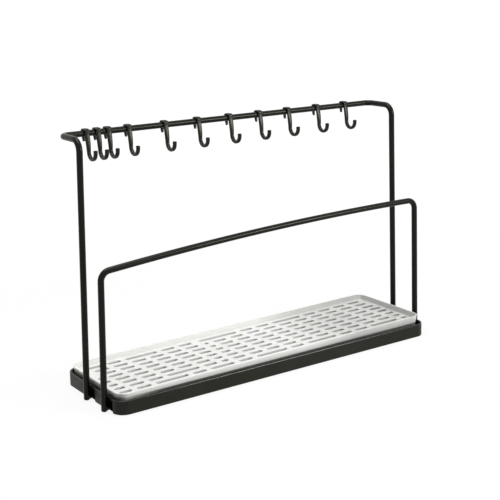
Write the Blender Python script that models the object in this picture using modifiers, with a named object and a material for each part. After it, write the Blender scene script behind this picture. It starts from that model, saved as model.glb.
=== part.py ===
"""Countertop draining rack, modelled piece by piece at its real size.

A slim black tray stands on four rubber feet and holds a loose, slotted drainer insert.
Two bent wire frames stand beside its ends: a low guard at the front and a tall rear frame,
whose rail carries a row of clip-on hooks. Each physical piece is one object.

Lengths are in metres, +X runs along the rack, +Y to its back and +Z up. The origin lies on
the counter, under the middle of the tray.
"""

import math
from typing import Iterable, NamedTuple, Sequence

import bmesh
import bpy
import numpy as np
from mathutils import Vector

# Clearances that several pieces share
SEAT_GAP = 0.0003
CUT_OVERRUN = 0.0020

# Bent wire, the same stock in both frames
WIRE_DIAMETER = 0.0060
WIRE_LIFT = 0.0008
WIRE_BEND_STEPS = 6

# Base tray
TRAY_LENGTH = 0.3990
TRAY_DEPTH = 0.1150
TRAY_TOP = 0.0150
TRAY_CORNER_RADIUS = 0.0130
TRAY_WALL = 0.0024
TRAY_EDGE_RADIUS = 0.0009
TRAY_SKIRT_CLEARANCE = 0.0010
TRAY_FLOOR_THICKNESS = 0.0018
TRAY_FLOOR_FILLET = 0.0012

# Saddles under the tray that grip the wire feet, and the notches they pass through
SADDLE_WEB = 0.0010
SADDLE_LENGTH = 0.0080
SADDLE_CHEEK = 0.0016
SADDLE_SNAP_DROP = 0.0018
NOTCH_WIDTH = 0.0170
NOTCH_BEVEL = 0.0025
NOTCH_RECESS = 0.0016
NOTCH_TOP_DROP = 0.0024
NOTCH_POCKET = 0.0010

# Rubber feet and the bosses that hold them
PAD_RADIUS = 0.0045
PAD_THICKNESS = 0.0020
PAD_EDGE = 0.0006
PAD_STUD_RADIUS = 0.0020
PAD_STUD_LENGTH = 0.0030
BOSS_WALL = 0.0010
PAD_WIRE_ROOM = 0.0100
PAD_SIDE_INSET = 0.0090
TURNED_STEPS = 20

# Drainer insert: its floor and rim slope down to the left end
INSERT_LEFT_GAP = 0.0009
INSERT_RIGHT_GAP = 0.0022
INSERT_BACK_GAP = 0.0008
INSERT_FRONT_GAP = 0.0018
INSERT_CORNER_RADIUS = 0.0115
INSERT_FLOOR_TOP = 0.0180
INSERT_RIM_TOP = 0.0224
INSERT_RISE_RIGHT = 0.0037
INSERT_FLOOR_THICKNESS = 0.0018
INSERT_WALL = 0.0016
INSERT_EDGE_RADIUS = 0.0006
INSERT_SKIRT_DRAFT = 0.0022
INSERT_WALL_FLARE = 0.0042

# Slots of the insert: rows run along X and step sideways from the back to the front
SLOT_ROWS = 8
SLOT_FIELD_SHARE = 0.731
SLOT_FIELD_SHIFT = 0.0014
SLOT_LENGTH = 0.0165
SLOT_WIDTH = 0.0052
SLOT_LEFT_PITCH = 0.0217
SLOT_RIGHT_PITCH = 0.0224
SLOT_ROW_STEP = 0.0019
SLOT_LEFT_START = -0.1594
SLOT_RIGHT_START = -0.0366
SLOT_SEAM = -0.0494
SLOT_END_MARGIN = 0.0045
SLOT_SHORTEST = 0.0055
SLOT_JOINS = {0: (2, 6, 10), 6: (3,), 7: (2, 5, 8, 11, 15)}

# Both frames: their legs lean in towards the rack's middle by a share of their height
LEG_CLEARANCE = 0.0006
LEG_LEAN_SHARE = 0.020

# Rear frame with the hook rail
REAR_LEG_Y = 0.0028
RAIL_HEIGHT = 0.2600
RAIL_ARM = 0.0397
RAIL_BEND_RADIUS = 0.0078
LEG_TOP_BEND_RADIUS = 0.0110
FOOT_BEND_RADIUS = 0.0034
FOOT_RUN = 0.0363

# Front guard
GUARD_LEG_Y = -0.0346
GUARD_HEIGHT_LEFT = 0.1385
GUARD_HEIGHT_RIGHT = 0.1551
GUARD_BOW = 0.0051
GUARD_BOW_STEPS = 10
GUARD_BEND_RADIUS = 0.0100

# Clip-on hook
HOOK_CLIP_WALL = 0.0017
HOOK_CLIP_WIDTH = 0.0060
HOOK_TAB_DROP = 0.0056
HOOK_TAB_LIP = 0.0007
HOOK_STEM_WIDTH = 0.0031
HOOK_STEM_THICKNESS = 0.0028
HOOK_STEM_LEAN = 0.0020
HOOK_OPENING = 0.0119
HOOK_HEIGHT_BELOW_RAIL = 0.0262
HOOK_TIP_HEIGHT = 0.0115
HOOK_RIDGE_SHARE = 0.45
HOOK_SHOULDER_SHARE = 0.15
HOOK_END_SHARE = 0.60
HOOK_CLIP_STEPS = 8
HOOK_BEND_STEPS = 10
HOOK_CLIP_POWER = 3.0
HOOK_TAB_TAPER_SHARE = 0.75
# where each hook hangs, as shares of the rail's length
HOOK_PLACE_SHARES = (-0.4332, -0.4016, -0.3715, -0.3132, -0.2049, -0.1030,
                     -0.0014, 0.0971, 0.1961, 0.2996, 0.4014)

# Sizes that follow from the ones above
WIRE_RADIUS = WIRE_DIAMETER / 2
CORNER_STEPS = 6
SMALLEST_CORNER = TRAY_EDGE_RADIUS
FOOT_WIRE_Z = WIRE_LIFT + WIRE_RADIUS
TRAY_FLOOR_UNDERSIDE = FOOT_WIRE_Z + WIRE_RADIUS + SADDLE_WEB
TRAY_FLOOR_TOP = TRAY_FLOOR_UNDERSIDE + TRAY_FLOOR_THICKNESS
LEG_X = TRAY_LENGTH / 2 + LEG_CLEARANCE + WIRE_RADIUS
RAIL_Y = REAR_LEG_Y + RAIL_ARM
RAIL_END_X = LEG_X - LEG_LEAN_SHARE * (RAIL_HEIGHT - FOOT_WIRE_Z)
GUARD_LEFT_X = LEG_X - LEG_LEAN_SHARE * (GUARD_HEIGHT_LEFT - FOOT_WIRE_Z)
GUARD_RIGHT_X = LEG_X - LEG_LEAN_SHARE * (GUARD_HEIGHT_RIGHT - FOOT_WIRE_Z)
NOTCH_TOP = TRAY_TOP - NOTCH_TOP_DROP
FOOT_END_X = LEG_X - FOOT_RUN
INSERT_LENGTH = TRAY_LENGTH - 2 * TRAY_WALL - INSERT_LEFT_GAP - INSERT_RIGHT_GAP
INSERT_DEPTH = TRAY_DEPTH - 2 * TRAY_WALL - INSERT_BACK_GAP - INSERT_FRONT_GAP
INSERT_X = (INSERT_LEFT_GAP - INSERT_RIGHT_GAP) / 2
INSERT_Y = (INSERT_FRONT_GAP - INSERT_BACK_GAP) / 2
SLOT_ROW_PITCH = SLOT_FIELD_SHARE * INSERT_DEPTH / (SLOT_ROWS - 1)


class Level(NamedTuple):
    """One rounded-rectangle ring of a moulded dish.

    It says how far the ring lies in from the outline, how high it is at the dish's middle and
    which share of the dish's slope it follows.
    """

    inset: float
    height: float
    slope_share: float = 0.0


class Station(NamedTuple):
    """One cross-section of a hook: where it lies ahead of the rail and its two sizes."""

    ahead: float
    height: float
    width: float
    thickness: float


def clear_scene() -> None:
    """Remove every object that the start-up scene holds."""
    for item in list(bpy.data.objects):
        bpy.data.objects.remove(item, do_unlink=True)


def new_collection(name: str) -> bpy.types.Collection:
    """Return a new collection linked to the scene."""
    group = bpy.data.collections.new(name)
    bpy.context.scene.collection.children.link(group)
    return group


def principled(name: str, colour: Sequence[float], roughness: float,
               metallic: float = 0.0) -> bpy.types.Material:
    """Return a Principled material with a colour, roughness and metallic value."""
    made = bpy.data.materials.new(name)
    made.use_nodes = True
    shader = made.node_tree.nodes["Principled BSDF"]
    shader.inputs["Base Color"].default_value = (*colour, 1.0)
    shader.inputs["Roughness"].default_value = roughness
    shader.inputs["Metallic"].default_value = metallic
    made.diffuse_color = (*colour, 1.0)
    return made


def tray_plastic() -> bpy.types.Material:
    """Black moulded plastic of the tray."""
    return principled("tray_plastic", (0.030, 0.030, 0.028), 0.34)


def insert_plastic() -> bpy.types.Material:
    """Milky white plastic of the drainer insert."""
    return principled("insert_plastic", (0.88, 0.88, 0.87), 0.38)


def frame_coating() -> bpy.types.Material:
    """Black satin powder coat of the two wire frames."""
    return principled("frame_coating", (0.020, 0.020, 0.018), 0.42, 0.25)


def hook_plastic() -> bpy.types.Material:
    """Black moulded plastic of the hooks."""
    return principled("hook_plastic", (0.026, 0.026, 0.023), 0.40)


def foot_rubber() -> bpy.types.Material:
    """Dark grey rubber of the feet."""
    return principled("foot_rubber", (0.045, 0.045, 0.045), 0.85)


def object_from_mesh(name: str, mesh: bpy.types.Mesh,
                     group: bpy.types.Collection) -> bpy.types.Object:
    """Return a new object that shows a mesh, linked to a collection."""
    made = bpy.data.objects.new(name, mesh)
    group.objects.link(made)
    return made


def mesh_from_bmesh(name: str, shape: bmesh.types.BMesh) -> bpy.types.Mesh:
    """Turn a bmesh into a mesh whose faces all point outwards."""
    bmesh.ops.recalc_face_normals(shape, faces=shape.faces)
    mesh = bpy.data.meshes.new(name)
    shape.to_mesh(mesh)
    shape.free()
    return mesh


def finish(item: bpy.types.Object, finish_material: bpy.types.Material,
           smooth_below: float = math.radians(35)) -> bpy.types.Object:
    """Give a piece its material and smooth shading with sharp edges kept."""
    item.data.materials.clear()
    item.data.materials.append(finish_material)
    item.data.shade_smooth()
    item.data.set_sharp_from_angle(angle=smooth_below)
    return item


def rounded_rectangle(length: float, depth: float, radius: float) -> np.ndarray:
    """Return the corner points of a rounded rectangle about the origin, anticlockwise."""
    turns = np.linspace(0.0, math.pi / 2, CORNER_STEPS + 1)
    corners = []
    for quarter, (side_x, side_y) in enumerate(((1, 1), (-1, 1), (-1, -1), (1, -1))):
        angles = turns + quarter * math.pi / 2
        centre = (side_x * (length / 2 - radius), side_y * (depth / 2 - radius))
        corners.append(np.column_stack((centre[0] + radius * np.cos(angles),
                                        centre[1] + radius * np.sin(angles))))
    return np.vstack(corners)


def stadium(start: float, end: float, middle_y: float, width: float) -> np.ndarray:
    """Return an eight-point outline of a slot with rounded ends, anticlockwise."""
    radius = width / 2
    half_turn = np.radians((-90.0, -30.0, 30.0, 90.0))
    right = np.column_stack((end - radius + radius * np.cos(half_turn),
                             middle_y + radius * np.sin(half_turn)))
    left = np.column_stack((start + radius - radius * np.cos(half_turn),
                            middle_y - radius * np.sin(half_turn)))
    return np.vstack((right, left))


def circle(centre_x: float, centre_y: float, radius: float) -> np.ndarray:
    """Return a round outline with as many points as the turned pieces have."""
    angles = np.linspace(0.0, 2 * math.pi, TURNED_STEPS, endpoint=False)
    return np.column_stack((centre_x + radius * np.cos(angles),
                            centre_y + radius * np.sin(angles)))


def rectangle(low: Sequence[float], high: Sequence[float]) -> np.ndarray:
    """Return the four corners of a rectangle, anticlockwise."""
    return np.array(((low[0], low[1]), (high[0], low[1]), (high[0], high[1]), (low[0], high[1])))


def lofted_dish(name: str, length: float, depth: float, radius: float, levels: Sequence[Level],
                rise_right: float = 0.0) -> bpy.types.Mesh:
    """Loft a moulded dish through rounded-rectangle rings of unlike size.

    The rings run from the inside floor over the rim, down the outside and back in under the
    floor, whose two faces close the solid.

    Args:
        name: name of the mesh.
        length: outline's size along X.
        depth: outline's size along Y.
        radius: outline's corner radius.
        levels: the rings, each set in from the outline.
        rise_right: how much higher a sloping ring is at the right end than at the left.

    Returns:
        The closed mesh.
    """
    shape = bmesh.new()
    rings = []
    for level in levels:
        corner = max(radius - level.inset, SMALLEST_CORNER)
        outline = rounded_rectangle(length - 2 * level.inset, depth - 2 * level.inset, corner)
        rise = level.slope_share * rise_right / length
        rings.append([shape.verts.new((x, y, level.height + rise * x)) for x, y in outline])
    count = len(rings[0])
    for lower, upper in zip(rings, rings[1:]):
        for index in range(count):
            following = (index + 1) % count
            shape.faces.new((lower[index], lower[following], upper[following], upper[index]))
    shape.faces.new(rings[0])
    shape.faces.new(rings[-1])
    return mesh_from_bmesh(name, shape)


def rim_levels(inner: float, outer: float, top: float, radius: float, slope_share: float = 0.0,
               steps: int = 3) -> list[Level]:
    """Return the rings of a rim with rounded edges, from its inner side to its outer side."""
    turns = np.linspace(0.0, math.pi / 2, steps + 1)
    inside = [Level(inner - radius + radius * math.cos(turn),
                    top - radius + radius * math.sin(turn), slope_share) for turn in turns]
    outside = [Level(outer + radius - radius * math.sin(turn),
                     top - radius + radius * math.cos(turn), slope_share) for turn in turns]
    return inside + outside


def prisms(name: str, outlines: Iterable[np.ndarray], low: float, high: float,
           group: bpy.types.Collection) -> bpy.types.Object:
    """Extrude flat outlines between two heights into one mesh object.

    Args:
        name: name of the object.
        outlines: closed outlines in plan that don't touch each other.
        low: height of the bottom faces.
        high: height of the top faces.
        group: collection that takes the object.

    Returns:
        The mesh object, in world space.
    """
    flat = bpy.data.curves.new(name, "CURVE")
    flat.dimensions = "2D"
    flat.fill_mode = "BOTH"
    flat.extrude = (high - low) / 2
    for outline in outlines:
        spline = flat.splines.new("POLY")
        spline.points.add(len(outline) - 1)
        for point, (x, y) in zip(spline.points, outline):
            point.co = (x, y, 0.0, 1.0)
        spline.use_cyclic_u = True
    drawn = object_from_mesh(name, flat, group)
    drawn.location.z = (low + high) / 2
    bpy.context.view_layer.update()
    evaluated = drawn.evaluated_get(bpy.context.evaluated_depsgraph_get())
    mesh = bpy.data.meshes.new_from_object(evaluated)
    mesh.transform(drawn.matrix_world)
    bpy.data.objects.remove(drawn, do_unlink=True)
    shape = bmesh.new()
    shape.from_mesh(mesh)
    bmesh.ops.remove_doubles(shape, verts=shape.verts, dist=0.00001)
    bpy.data.meshes.remove(mesh)
    return object_from_mesh(name, mesh_from_bmesh(name, shape), group)


def hide_tool(tool: bpy.types.Object) -> bpy.types.Object:
    """Keep a cutter or a piece that is fused elsewhere out of the render."""
    tool.hide_render = True
    tool.display_type = "WIRE"
    return tool


def combine(target: bpy.types.Object, tool: bpy.types.Object, operation: str) -> None:
    """Join a tool to a piece, or cut it away, with an exact Boolean."""
    modifier = target.modifiers.new(tool.name, "BOOLEAN")
    modifier.operation = operation
    modifier.solver = "EXACT"
    modifier.object = hide_tool(tool)


def bent_path(corners: Sequence[Sequence[float]], radii: Sequence[float]) -> list[Vector]:
    """Round the corners of a path with arcs, as a wire bender does.

    Args:
        corners: the path's ends and corners.
        radii: bend radius of the wire's centre line at each of them, zero where it isn't bent.

    Returns:
        The points of the bent centre line.
    """
    points = [Vector(corner) for corner in corners]
    path = [points[0]]
    for before, corner, after, radius in zip(points, points[1:], points[2:], radii[1:]):
        if radius == 0.0:
            path.append(corner)
            continue
        arriving = (corner - before).normalized()
        leaving = (after - corner).normalized()
        turn = arriving.angle(leaving)
        tangent = radius * math.tan(turn / 2)
        start = corner - arriving * tangent
        inward = (leaving - arriving * arriving.dot(leaving)).normalized()
        for step in range(WIRE_BEND_STEPS + 1):
            angle = turn * step / WIRE_BEND_STEPS
            path.append(start + arriving * (radius * math.sin(angle))
                        + inward * (radius * (1 - math.cos(angle))))
    path.append(points[-1])
    return path


def bent_wire(name: str, path: Sequence[Vector], group: bpy.types.Collection,
              coating: bpy.types.Material) -> bpy.types.Object:
    """Make a round wire along a path, with closed ends."""
    line = bpy.data.curves.new(name, "CURVE")
    line.dimensions = "3D"
    line.bevel_depth = WIRE_RADIUS
    line.bevel_resolution = 2
    line.use_fill_caps = True
    spline = line.splines.new("POLY")
    spline.points.add(len(path) - 1)
    for point, place in zip(spline.points, path):
        point.co = (*place, 1.0)
    line.materials.append(coating)
    return object_from_mesh(name, line, group)


def leg_places() -> list[tuple[float, float]]:
    """Return the plan places of the four legs: both frames, left end then right end."""
    return [(side * LEG_X, leg_y) for leg_y in (REAR_LEG_Y, GUARD_LEG_Y) for side in (-1, 1)]


def pad_places() -> list[tuple[float, float]]:
    """Return the plan places of the four rubber feet."""
    return [(side_x * (FOOT_END_X - PAD_WIRE_ROOM), side_y * (TRAY_DEPTH / 2 - PAD_SIDE_INSET))
            for side_y in (1, -1) for side_x in (-1, 1)]


def end_span(side: int, near: float, far: float, low_y: float, high_y: float) -> np.ndarray:
    """Return a rectangle between two distances from the middle, at the left or right end."""
    low_x, high_x = sorted((side * near, side * far))
    return rectangle((low_x, low_y), (high_x, high_y))


def tray_levels() -> list[Level]:
    """Return the rings of the base tray, from its basin floor round to its underside."""
    basin = [Level(TRAY_WALL + TRAY_FLOOR_FILLET, TRAY_FLOOR_TOP),
             Level(TRAY_WALL, TRAY_FLOOR_TOP + TRAY_FLOOR_FILLET)]
    skirt = [Level(0.0, TRAY_SKIRT_CLEARANCE), Level(TRAY_WALL, TRAY_SKIRT_CLEARANCE),
             Level(TRAY_WALL, TRAY_FLOOR_UNDERSIDE)]
    return basin + rim_levels(TRAY_WALL, 0.0, TRAY_TOP, TRAY_EDGE_RADIUS) + skirt


def saddle_blocks(group: bpy.types.Collection) -> bpy.types.Object:
    """Make the blocks under the tray's floor that the ends of the wire feet snap into."""
    half_width = WIRE_RADIUS + SEAT_GAP + SADDLE_CHEEK
    start = FOOT_END_X + SADDLE_CHEEK
    outlines = [end_span(side, start, start + SADDLE_LENGTH, leg_y - half_width, leg_y + half_width)
                for leg_y in (REAR_LEG_Y, GUARD_LEG_Y) for side in (-1, 1)]
    middle_of_floor = TRAY_FLOOR_UNDERSIDE + TRAY_FLOOR_THICKNESS / 2
    return prisms("saddle_blocks", outlines, FOOT_WIRE_Z - SADDLE_SNAP_DROP, middle_of_floor, group)


def pocket_blocks(group: bpy.types.Collection) -> bpy.types.Object:
    """Make the blocks behind the end walls that close each notch round the wire."""
    half_width = NOTCH_WIDTH / 2 + SADDLE_CHEEK
    end = (TRAY_LENGTH - TRAY_WALL) / 2
    outlines = [end_span(side, end - SADDLE_LENGTH, end, leg_y - half_width, leg_y + half_width)
                for leg_y in (REAR_LEG_Y, GUARD_LEG_Y) for side in (-1, 1)]
    middle_of_floor = TRAY_FLOOR_UNDERSIDE + TRAY_FLOOR_THICKNESS / 2
    low = TRAY_SKIRT_CLEARANCE + TRAY_EDGE_RADIUS
    return prisms("pocket_blocks", outlines, low, middle_of_floor, group)


def wire_channels(group: bpy.types.Collection) -> bpy.types.Object:
    """Make the round channels that the wire feet run in through to their saddles."""
    shape = bmesh.new()
    start = FOOT_END_X - CUT_OVERRUN
    length = TRAY_LENGTH / 2 + CUT_OVERRUN - start
    for leg_y in (REAR_LEG_Y, GUARD_LEG_Y):
        for side in (-1, 1):
            made = bmesh.ops.create_cone(shape, cap_ends=True, segments=TURNED_STEPS,
                                         radius1=WIRE_RADIUS + SEAT_GAP,
                                         radius2=WIRE_RADIUS + SEAT_GAP, depth=length)
            for vertex in made["verts"]:
                along = vertex.co.z
                vertex.co = (side * (start + length / 2) + along, leg_y + vertex.co.x,
                             FOOT_WIRE_Z + vertex.co.y)
    return object_from_mesh("wire_channels", mesh_from_bmesh("wire_channels", shape), group)


def notch_recesses(group: bpy.types.Collection) -> bpy.types.Object:
    """Make the bevelled recesses that the legs stand in front of, in the tray's end walls."""
    outer = TRAY_LENGTH / 2
    outlines = []
    for leg_x, leg_y in leg_places():
        side = math.copysign(1.0, leg_x)
        slope = (NOTCH_BEVEL / NOTCH_RECESS) * CUT_OVERRUN
        narrow = NOTCH_WIDTH / 2
        wide = narrow + NOTCH_BEVEL + slope
        outline = [(side * (outer - NOTCH_RECESS), leg_y - narrow),
                   (side * (outer + CUT_OVERRUN), leg_y - wide),
                   (side * (outer + CUT_OVERRUN), leg_y + wide),
                   (side * (outer - NOTCH_RECESS), leg_y + narrow)]
        outlines.append(np.array(outline))
    return prisms("notch_recesses", outlines, TRAY_SKIRT_CLEARANCE - CUT_OVERRUN, NOTCH_TOP, group)


def notch_passages(group: bpy.types.Collection) -> bpy.types.Object:
    """Make the pockets in the end walls below the basin floor that the wire bends turn in."""
    outer = TRAY_LENGTH / 2
    half_width = NOTCH_WIDTH / 2
    outlines = [end_span(side, outer - TRAY_WALL - NOTCH_POCKET, outer + CUT_OVERRUN,
                         leg_y - half_width, leg_y + half_width)
                for leg_y in (REAR_LEG_Y, GUARD_LEG_Y) for side in (-1, 1)]
    return prisms("notch_passages", outlines, TRAY_SKIRT_CLEARANCE - CUT_OVERRUN,
                  TRAY_FLOOR_UNDERSIDE, group)


def foot_bosses(group: bpy.types.Collection) -> bpy.types.Object:
    """Make the round bosses under the tray that hold the rubber feet."""
    radius = PAD_STUD_RADIUS + SEAT_GAP + BOSS_WALL
    outlines = [circle(x, y, max(radius, PAD_RADIUS)) for x, y in pad_places()]
    middle_of_floor = TRAY_FLOOR_UNDERSIDE + TRAY_FLOOR_THICKNESS / 2
    return prisms("foot_bosses", outlines, PAD_THICKNESS + SEAT_GAP, middle_of_floor, group)


def foot_sockets(group: bpy.types.Collection) -> bpy.types.Object:
    """Make the blind holes in the bosses that take the feet's studs."""
    outlines = [circle(x, y, PAD_STUD_RADIUS + SEAT_GAP) for x, y in pad_places()]
    return prisms("foot_sockets", outlines, PAD_THICKNESS - CUT_OVERRUN,
                  PAD_THICKNESS + PAD_STUD_LENGTH + SEAT_GAP, group)


def make_base_tray(group: bpy.types.Collection, tools: bpy.types.Collection) -> None:
    """Make the tray: basin, skirt, notches in its end walls, saddles and foot bosses."""
    mesh = lofted_dish("base_tray", TRAY_LENGTH, TRAY_DEPTH, TRAY_CORNER_RADIUS, tray_levels())
    tray = object_from_mesh("base_tray", mesh, group)
    combine(tray, saddle_blocks(tools), "UNION")
    combine(tray, pocket_blocks(tools), "UNION")
    combine(tray, foot_bosses(tools), "UNION")
    combine(tray, wire_channels(tools), "DIFFERENCE")
    combine(tray, foot_sockets(tools), "DIFFERENCE")
    combine(tray, notch_recesses(tools), "DIFFERENCE")
    combine(tray, notch_passages(tools), "DIFFERENCE")
    finish(tray, tray_plastic())


def insert_levels() -> list[Level]:
    """Return the rings of the drainer insert, from its floor over the rim to its underside."""
    seat = TRAY_FLOOR_TOP + SEAT_GAP
    underside = INSERT_FLOOR_TOP - INSERT_FLOOR_THICKNESS
    height = INSERT_RIM_TOP - seat
    skirt_at_floor = INSERT_SKIRT_DRAFT * (INSERT_RIM_TOP - underside) / height + INSERT_WALL
    rim = rim_levels(INSERT_WALL, 0.0, INSERT_RIM_TOP, INSERT_EDGE_RADIUS, slope_share=1.0)
    return [Level(INSERT_WALL_FLARE, INSERT_FLOOR_TOP, slope_share=1.0), *rim,
            Level(INSERT_SKIRT_DRAFT, seat), Level(INSERT_SKIRT_DRAFT + INSERT_WALL, seat),
            Level(skirt_at_floor, underside, slope_share=1.0)]


def row_slots(row: int, floor_end: float) -> list[tuple[float, float]]:
    """Return where each slot of a row starts and ends along X.

    The left field and the right field are regular, and both step sideways row by row. They
    meet at a seam, where a slot is cut short, or runs on to the seam where the rest would be
    too short. Slots that run past the floor's ends are cut short there too. A few neighbours
    are joined into one long slot.

    Args:
        row: row number, counted from the back.
        floor_end: distance from the insert's middle to the last place a slot may reach.

    Returns:
        Start and end of each slot, from left to right.
    """
    bridge = SLOT_RIGHT_PITCH - SLOT_LENGTH
    left_end, right_start = SLOT_SEAM - bridge / 2, SLOT_SEAM + bridge / 2
    first = SLOT_LEFT_START + row * SLOT_ROW_STEP - 2 * SLOT_LEFT_PITCH
    spans = []
    while first < left_end - bridge / 2:
        if left_end - first < SLOT_SHORTEST:
            spans[-1] = (spans[-1][0], left_end)
        else:
            spans.append((first, min(first + SLOT_LENGTH, left_end)))
        first += SLOT_LEFT_PITCH
    right = SLOT_RIGHT_START + row * SLOT_ROW_STEP
    if right - bridge - right_start < SLOT_SHORTEST:
        spans.append((right_start, right + SLOT_LENGTH))
    else:
        spans += [(right_start, right - bridge), (right, right + SLOT_LENGTH)]
    while right + SLOT_RIGHT_PITCH < floor_end:
        right += SLOT_RIGHT_PITCH
        spans.append((right, right + SLOT_LENGTH))
    clipped = [(max(start, -floor_end), min(end, floor_end)) for start, end in spans]
    kept = [span for span in clipped if span[1] - span[0] >= SLOT_SHORTEST]
    for index in sorted(SLOT_JOINS.get(row, ()), reverse=True):
        if index + 1 < len(kept):
            kept[index:index + 2] = [(kept[index][0], kept[index + 1][1])]
    return kept


def slot_cutters(group: bpy.types.Collection) -> bpy.types.Object:
    """Make one cutter that holds every drain slot of the insert."""
    floor_end = INSERT_LENGTH / 2 - INSERT_WALL_FLARE - SLOT_END_MARGIN
    outlines = []
    for row in range(SLOT_ROWS):
        middle_y = SLOT_FIELD_SHIFT + ((SLOT_ROWS - 1) / 2 - row) * SLOT_ROW_PITCH
        outlines += [stadium(start, end, middle_y, SLOT_WIDTH)
                     for start, end in row_slots(row, floor_end)]
    reach = INSERT_RISE_RIGHT / 2 + CUT_OVERRUN
    low = INSERT_FLOOR_TOP - INSERT_FLOOR_THICKNESS - reach
    cutter = prisms("slot_cutters", outlines, low, INSERT_FLOOR_TOP + reach, group)
    cutter.location = (INSERT_X, INSERT_Y, 0.0)
    return cutter


def make_drainer_insert(group: bpy.types.Collection, tools: bpy.types.Collection) -> None:
    """Make the white insert: a shallow slotted dish on a skirt, loose in the tray."""
    mesh = lofted_dish("drainer_insert", INSERT_LENGTH, INSERT_DEPTH, INSERT_CORNER_RADIUS,
                       insert_levels(), INSERT_RISE_RIGHT)
    insert = object_from_mesh("drainer_insert", mesh, group)
    insert.location = (INSERT_X, INSERT_Y, 0.0)
    combine(insert, slot_cutters(tools), "DIFFERENCE")
    finish(insert, insert_plastic())


def make_rear_frame(group: bpy.types.Collection, coating: bpy.types.Material) -> None:
    """Bend the tall frame: two legs, two arms to the back and the hook rail between them."""
    half = [(FOOT_END_X, REAR_LEG_Y, FOOT_WIRE_Z), (LEG_X, REAR_LEG_Y, FOOT_WIRE_Z),
            (RAIL_END_X, REAR_LEG_Y, RAIL_HEIGHT), (RAIL_END_X, RAIL_Y, RAIL_HEIGHT)]
    half_radii = [0.0, FOOT_BEND_RADIUS, LEG_TOP_BEND_RADIUS, RAIL_BEND_RADIUS]
    corners = [(-x, y, z) for x, y, z in half] + half[::-1]
    bent_wire("rear_frame", bent_path(corners, half_radii + half_radii[::-1]), group, coating)


def make_guard_frame(group: bpy.types.Collection, coating: bpy.types.Material) -> None:
    """Bend the low guard: two legs of unlike height and a rail that bows up between them."""
    corners = [(-FOOT_END_X, GUARD_LEG_Y, FOOT_WIRE_Z), (-LEG_X, GUARD_LEG_Y, FOOT_WIRE_Z)]
    for share in np.linspace(0.0, 1.0, GUARD_BOW_STEPS + 1):
        straight = GUARD_HEIGHT_LEFT + (GUARD_HEIGHT_RIGHT - GUARD_HEIGHT_LEFT) * share
        bow = GUARD_BOW * 4 * share * (1 - share)
        along = (GUARD_LEFT_X + GUARD_RIGHT_X) * share - GUARD_LEFT_X
        corners.append((along, GUARD_LEG_Y, straight + bow))
    corners += [(LEG_X, GUARD_LEG_Y, FOOT_WIRE_Z), (FOOT_END_X, GUARD_LEG_Y, FOOT_WIRE_Z)]
    inner_radii = [0.0] * (GUARD_BOW_STEPS - 1)
    radii = [0.0, FOOT_BEND_RADIUS, GUARD_BEND_RADIUS, *inner_radii, GUARD_BEND_RADIUS,
             FOOT_BEND_RADIUS, 0.0]
    bent_wire("guard_frame", bent_path(corners, radii), group, coating)


def squared(value: float) -> float:
    """Return a cosine or sine pushed outwards, so that a circle of them gets square corners."""
    return math.copysign(abs(value) ** (2 / HOOK_CLIP_POWER), value)


def hook_stations() -> list[Station]:
    """Return a hook's cross-sections from its back tab, over the rail and down to its tip.

    Places are measured from the rail's axis: ahead is towards the front of the rack.
    """
    grip = WIRE_RADIUS + SEAT_GAP + HOOK_CLIP_WALL / 2
    clip = (HOOK_CLIP_WIDTH, HOOK_CLIP_WALL)
    tab_end = -WIRE_RADIUS - HOOK_TAB_DROP
    tab_bend = -WIRE_RADIUS - HOOK_TAB_DROP / 2
    stations = [Station(-grip + HOOK_TAB_LIP, tab_end, HOOK_CLIP_WIDTH * HOOK_END_SHARE,
                        HOOK_CLIP_WALL * HOOK_END_SHARE),
                Station(-grip + HOOK_TAB_LIP / 2, (tab_end + tab_bend) / 2,
                        HOOK_CLIP_WIDTH * HOOK_TAB_TAPER_SHARE, HOOK_CLIP_WALL),
                Station(-grip, tab_bend, *clip)]
    for turn in np.linspace(math.pi, 0.0, HOOK_CLIP_STEPS + 1):
        stations.append(Station(grip * squared(math.cos(turn)), grip * squared(math.sin(turn)),
                                *clip))
    bend = (HOOK_OPENING + HOOK_STEM_THICKNESS) / 2
    bend_height = -HOOK_HEIGHT_BELOW_RAIL + HOOK_STEM_THICKNESS / 2 + bend
    stem_ahead = grip + HOOK_STEM_LEAN
    shoulder = -WIRE_RADIUS
    for share in (0.0, 0.25, 0.5, 0.75):
        stations.append(Station(
            grip + HOOK_STEM_LEAN * math.sin(share * math.pi / 2),
            shoulder + (bend_height - shoulder) * share,
            HOOK_CLIP_WIDTH + (HOOK_STEM_WIDTH - HOOK_CLIP_WIDTH) * share,
            HOOK_CLIP_WALL + (HOOK_STEM_THICKNESS - HOOK_CLIP_WALL) * math.sqrt(share)))
    stem = (HOOK_STEM_WIDTH, HOOK_STEM_THICKNESS)
    for turn in np.linspace(math.pi, 2 * math.pi, HOOK_BEND_STEPS + 1):
        stations.append(Station(stem_ahead + bend + bend * math.cos(turn),
                                bend_height + bend * math.sin(turn), *stem))
    tip = -HOOK_HEIGHT_BELOW_RAIL + HOOK_TIP_HEIGHT
    tip_ahead = stem_ahead + 2 * bend
    stations.append(Station(tip_ahead, tip - HOOK_STEM_THICKNESS / 2, *stem))
    stations.append(Station(tip_ahead, tip, HOOK_STEM_WIDTH * HOOK_END_SHARE,
                            HOOK_STEM_THICKNESS * HOOK_END_SHARE))
    return stations


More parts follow.
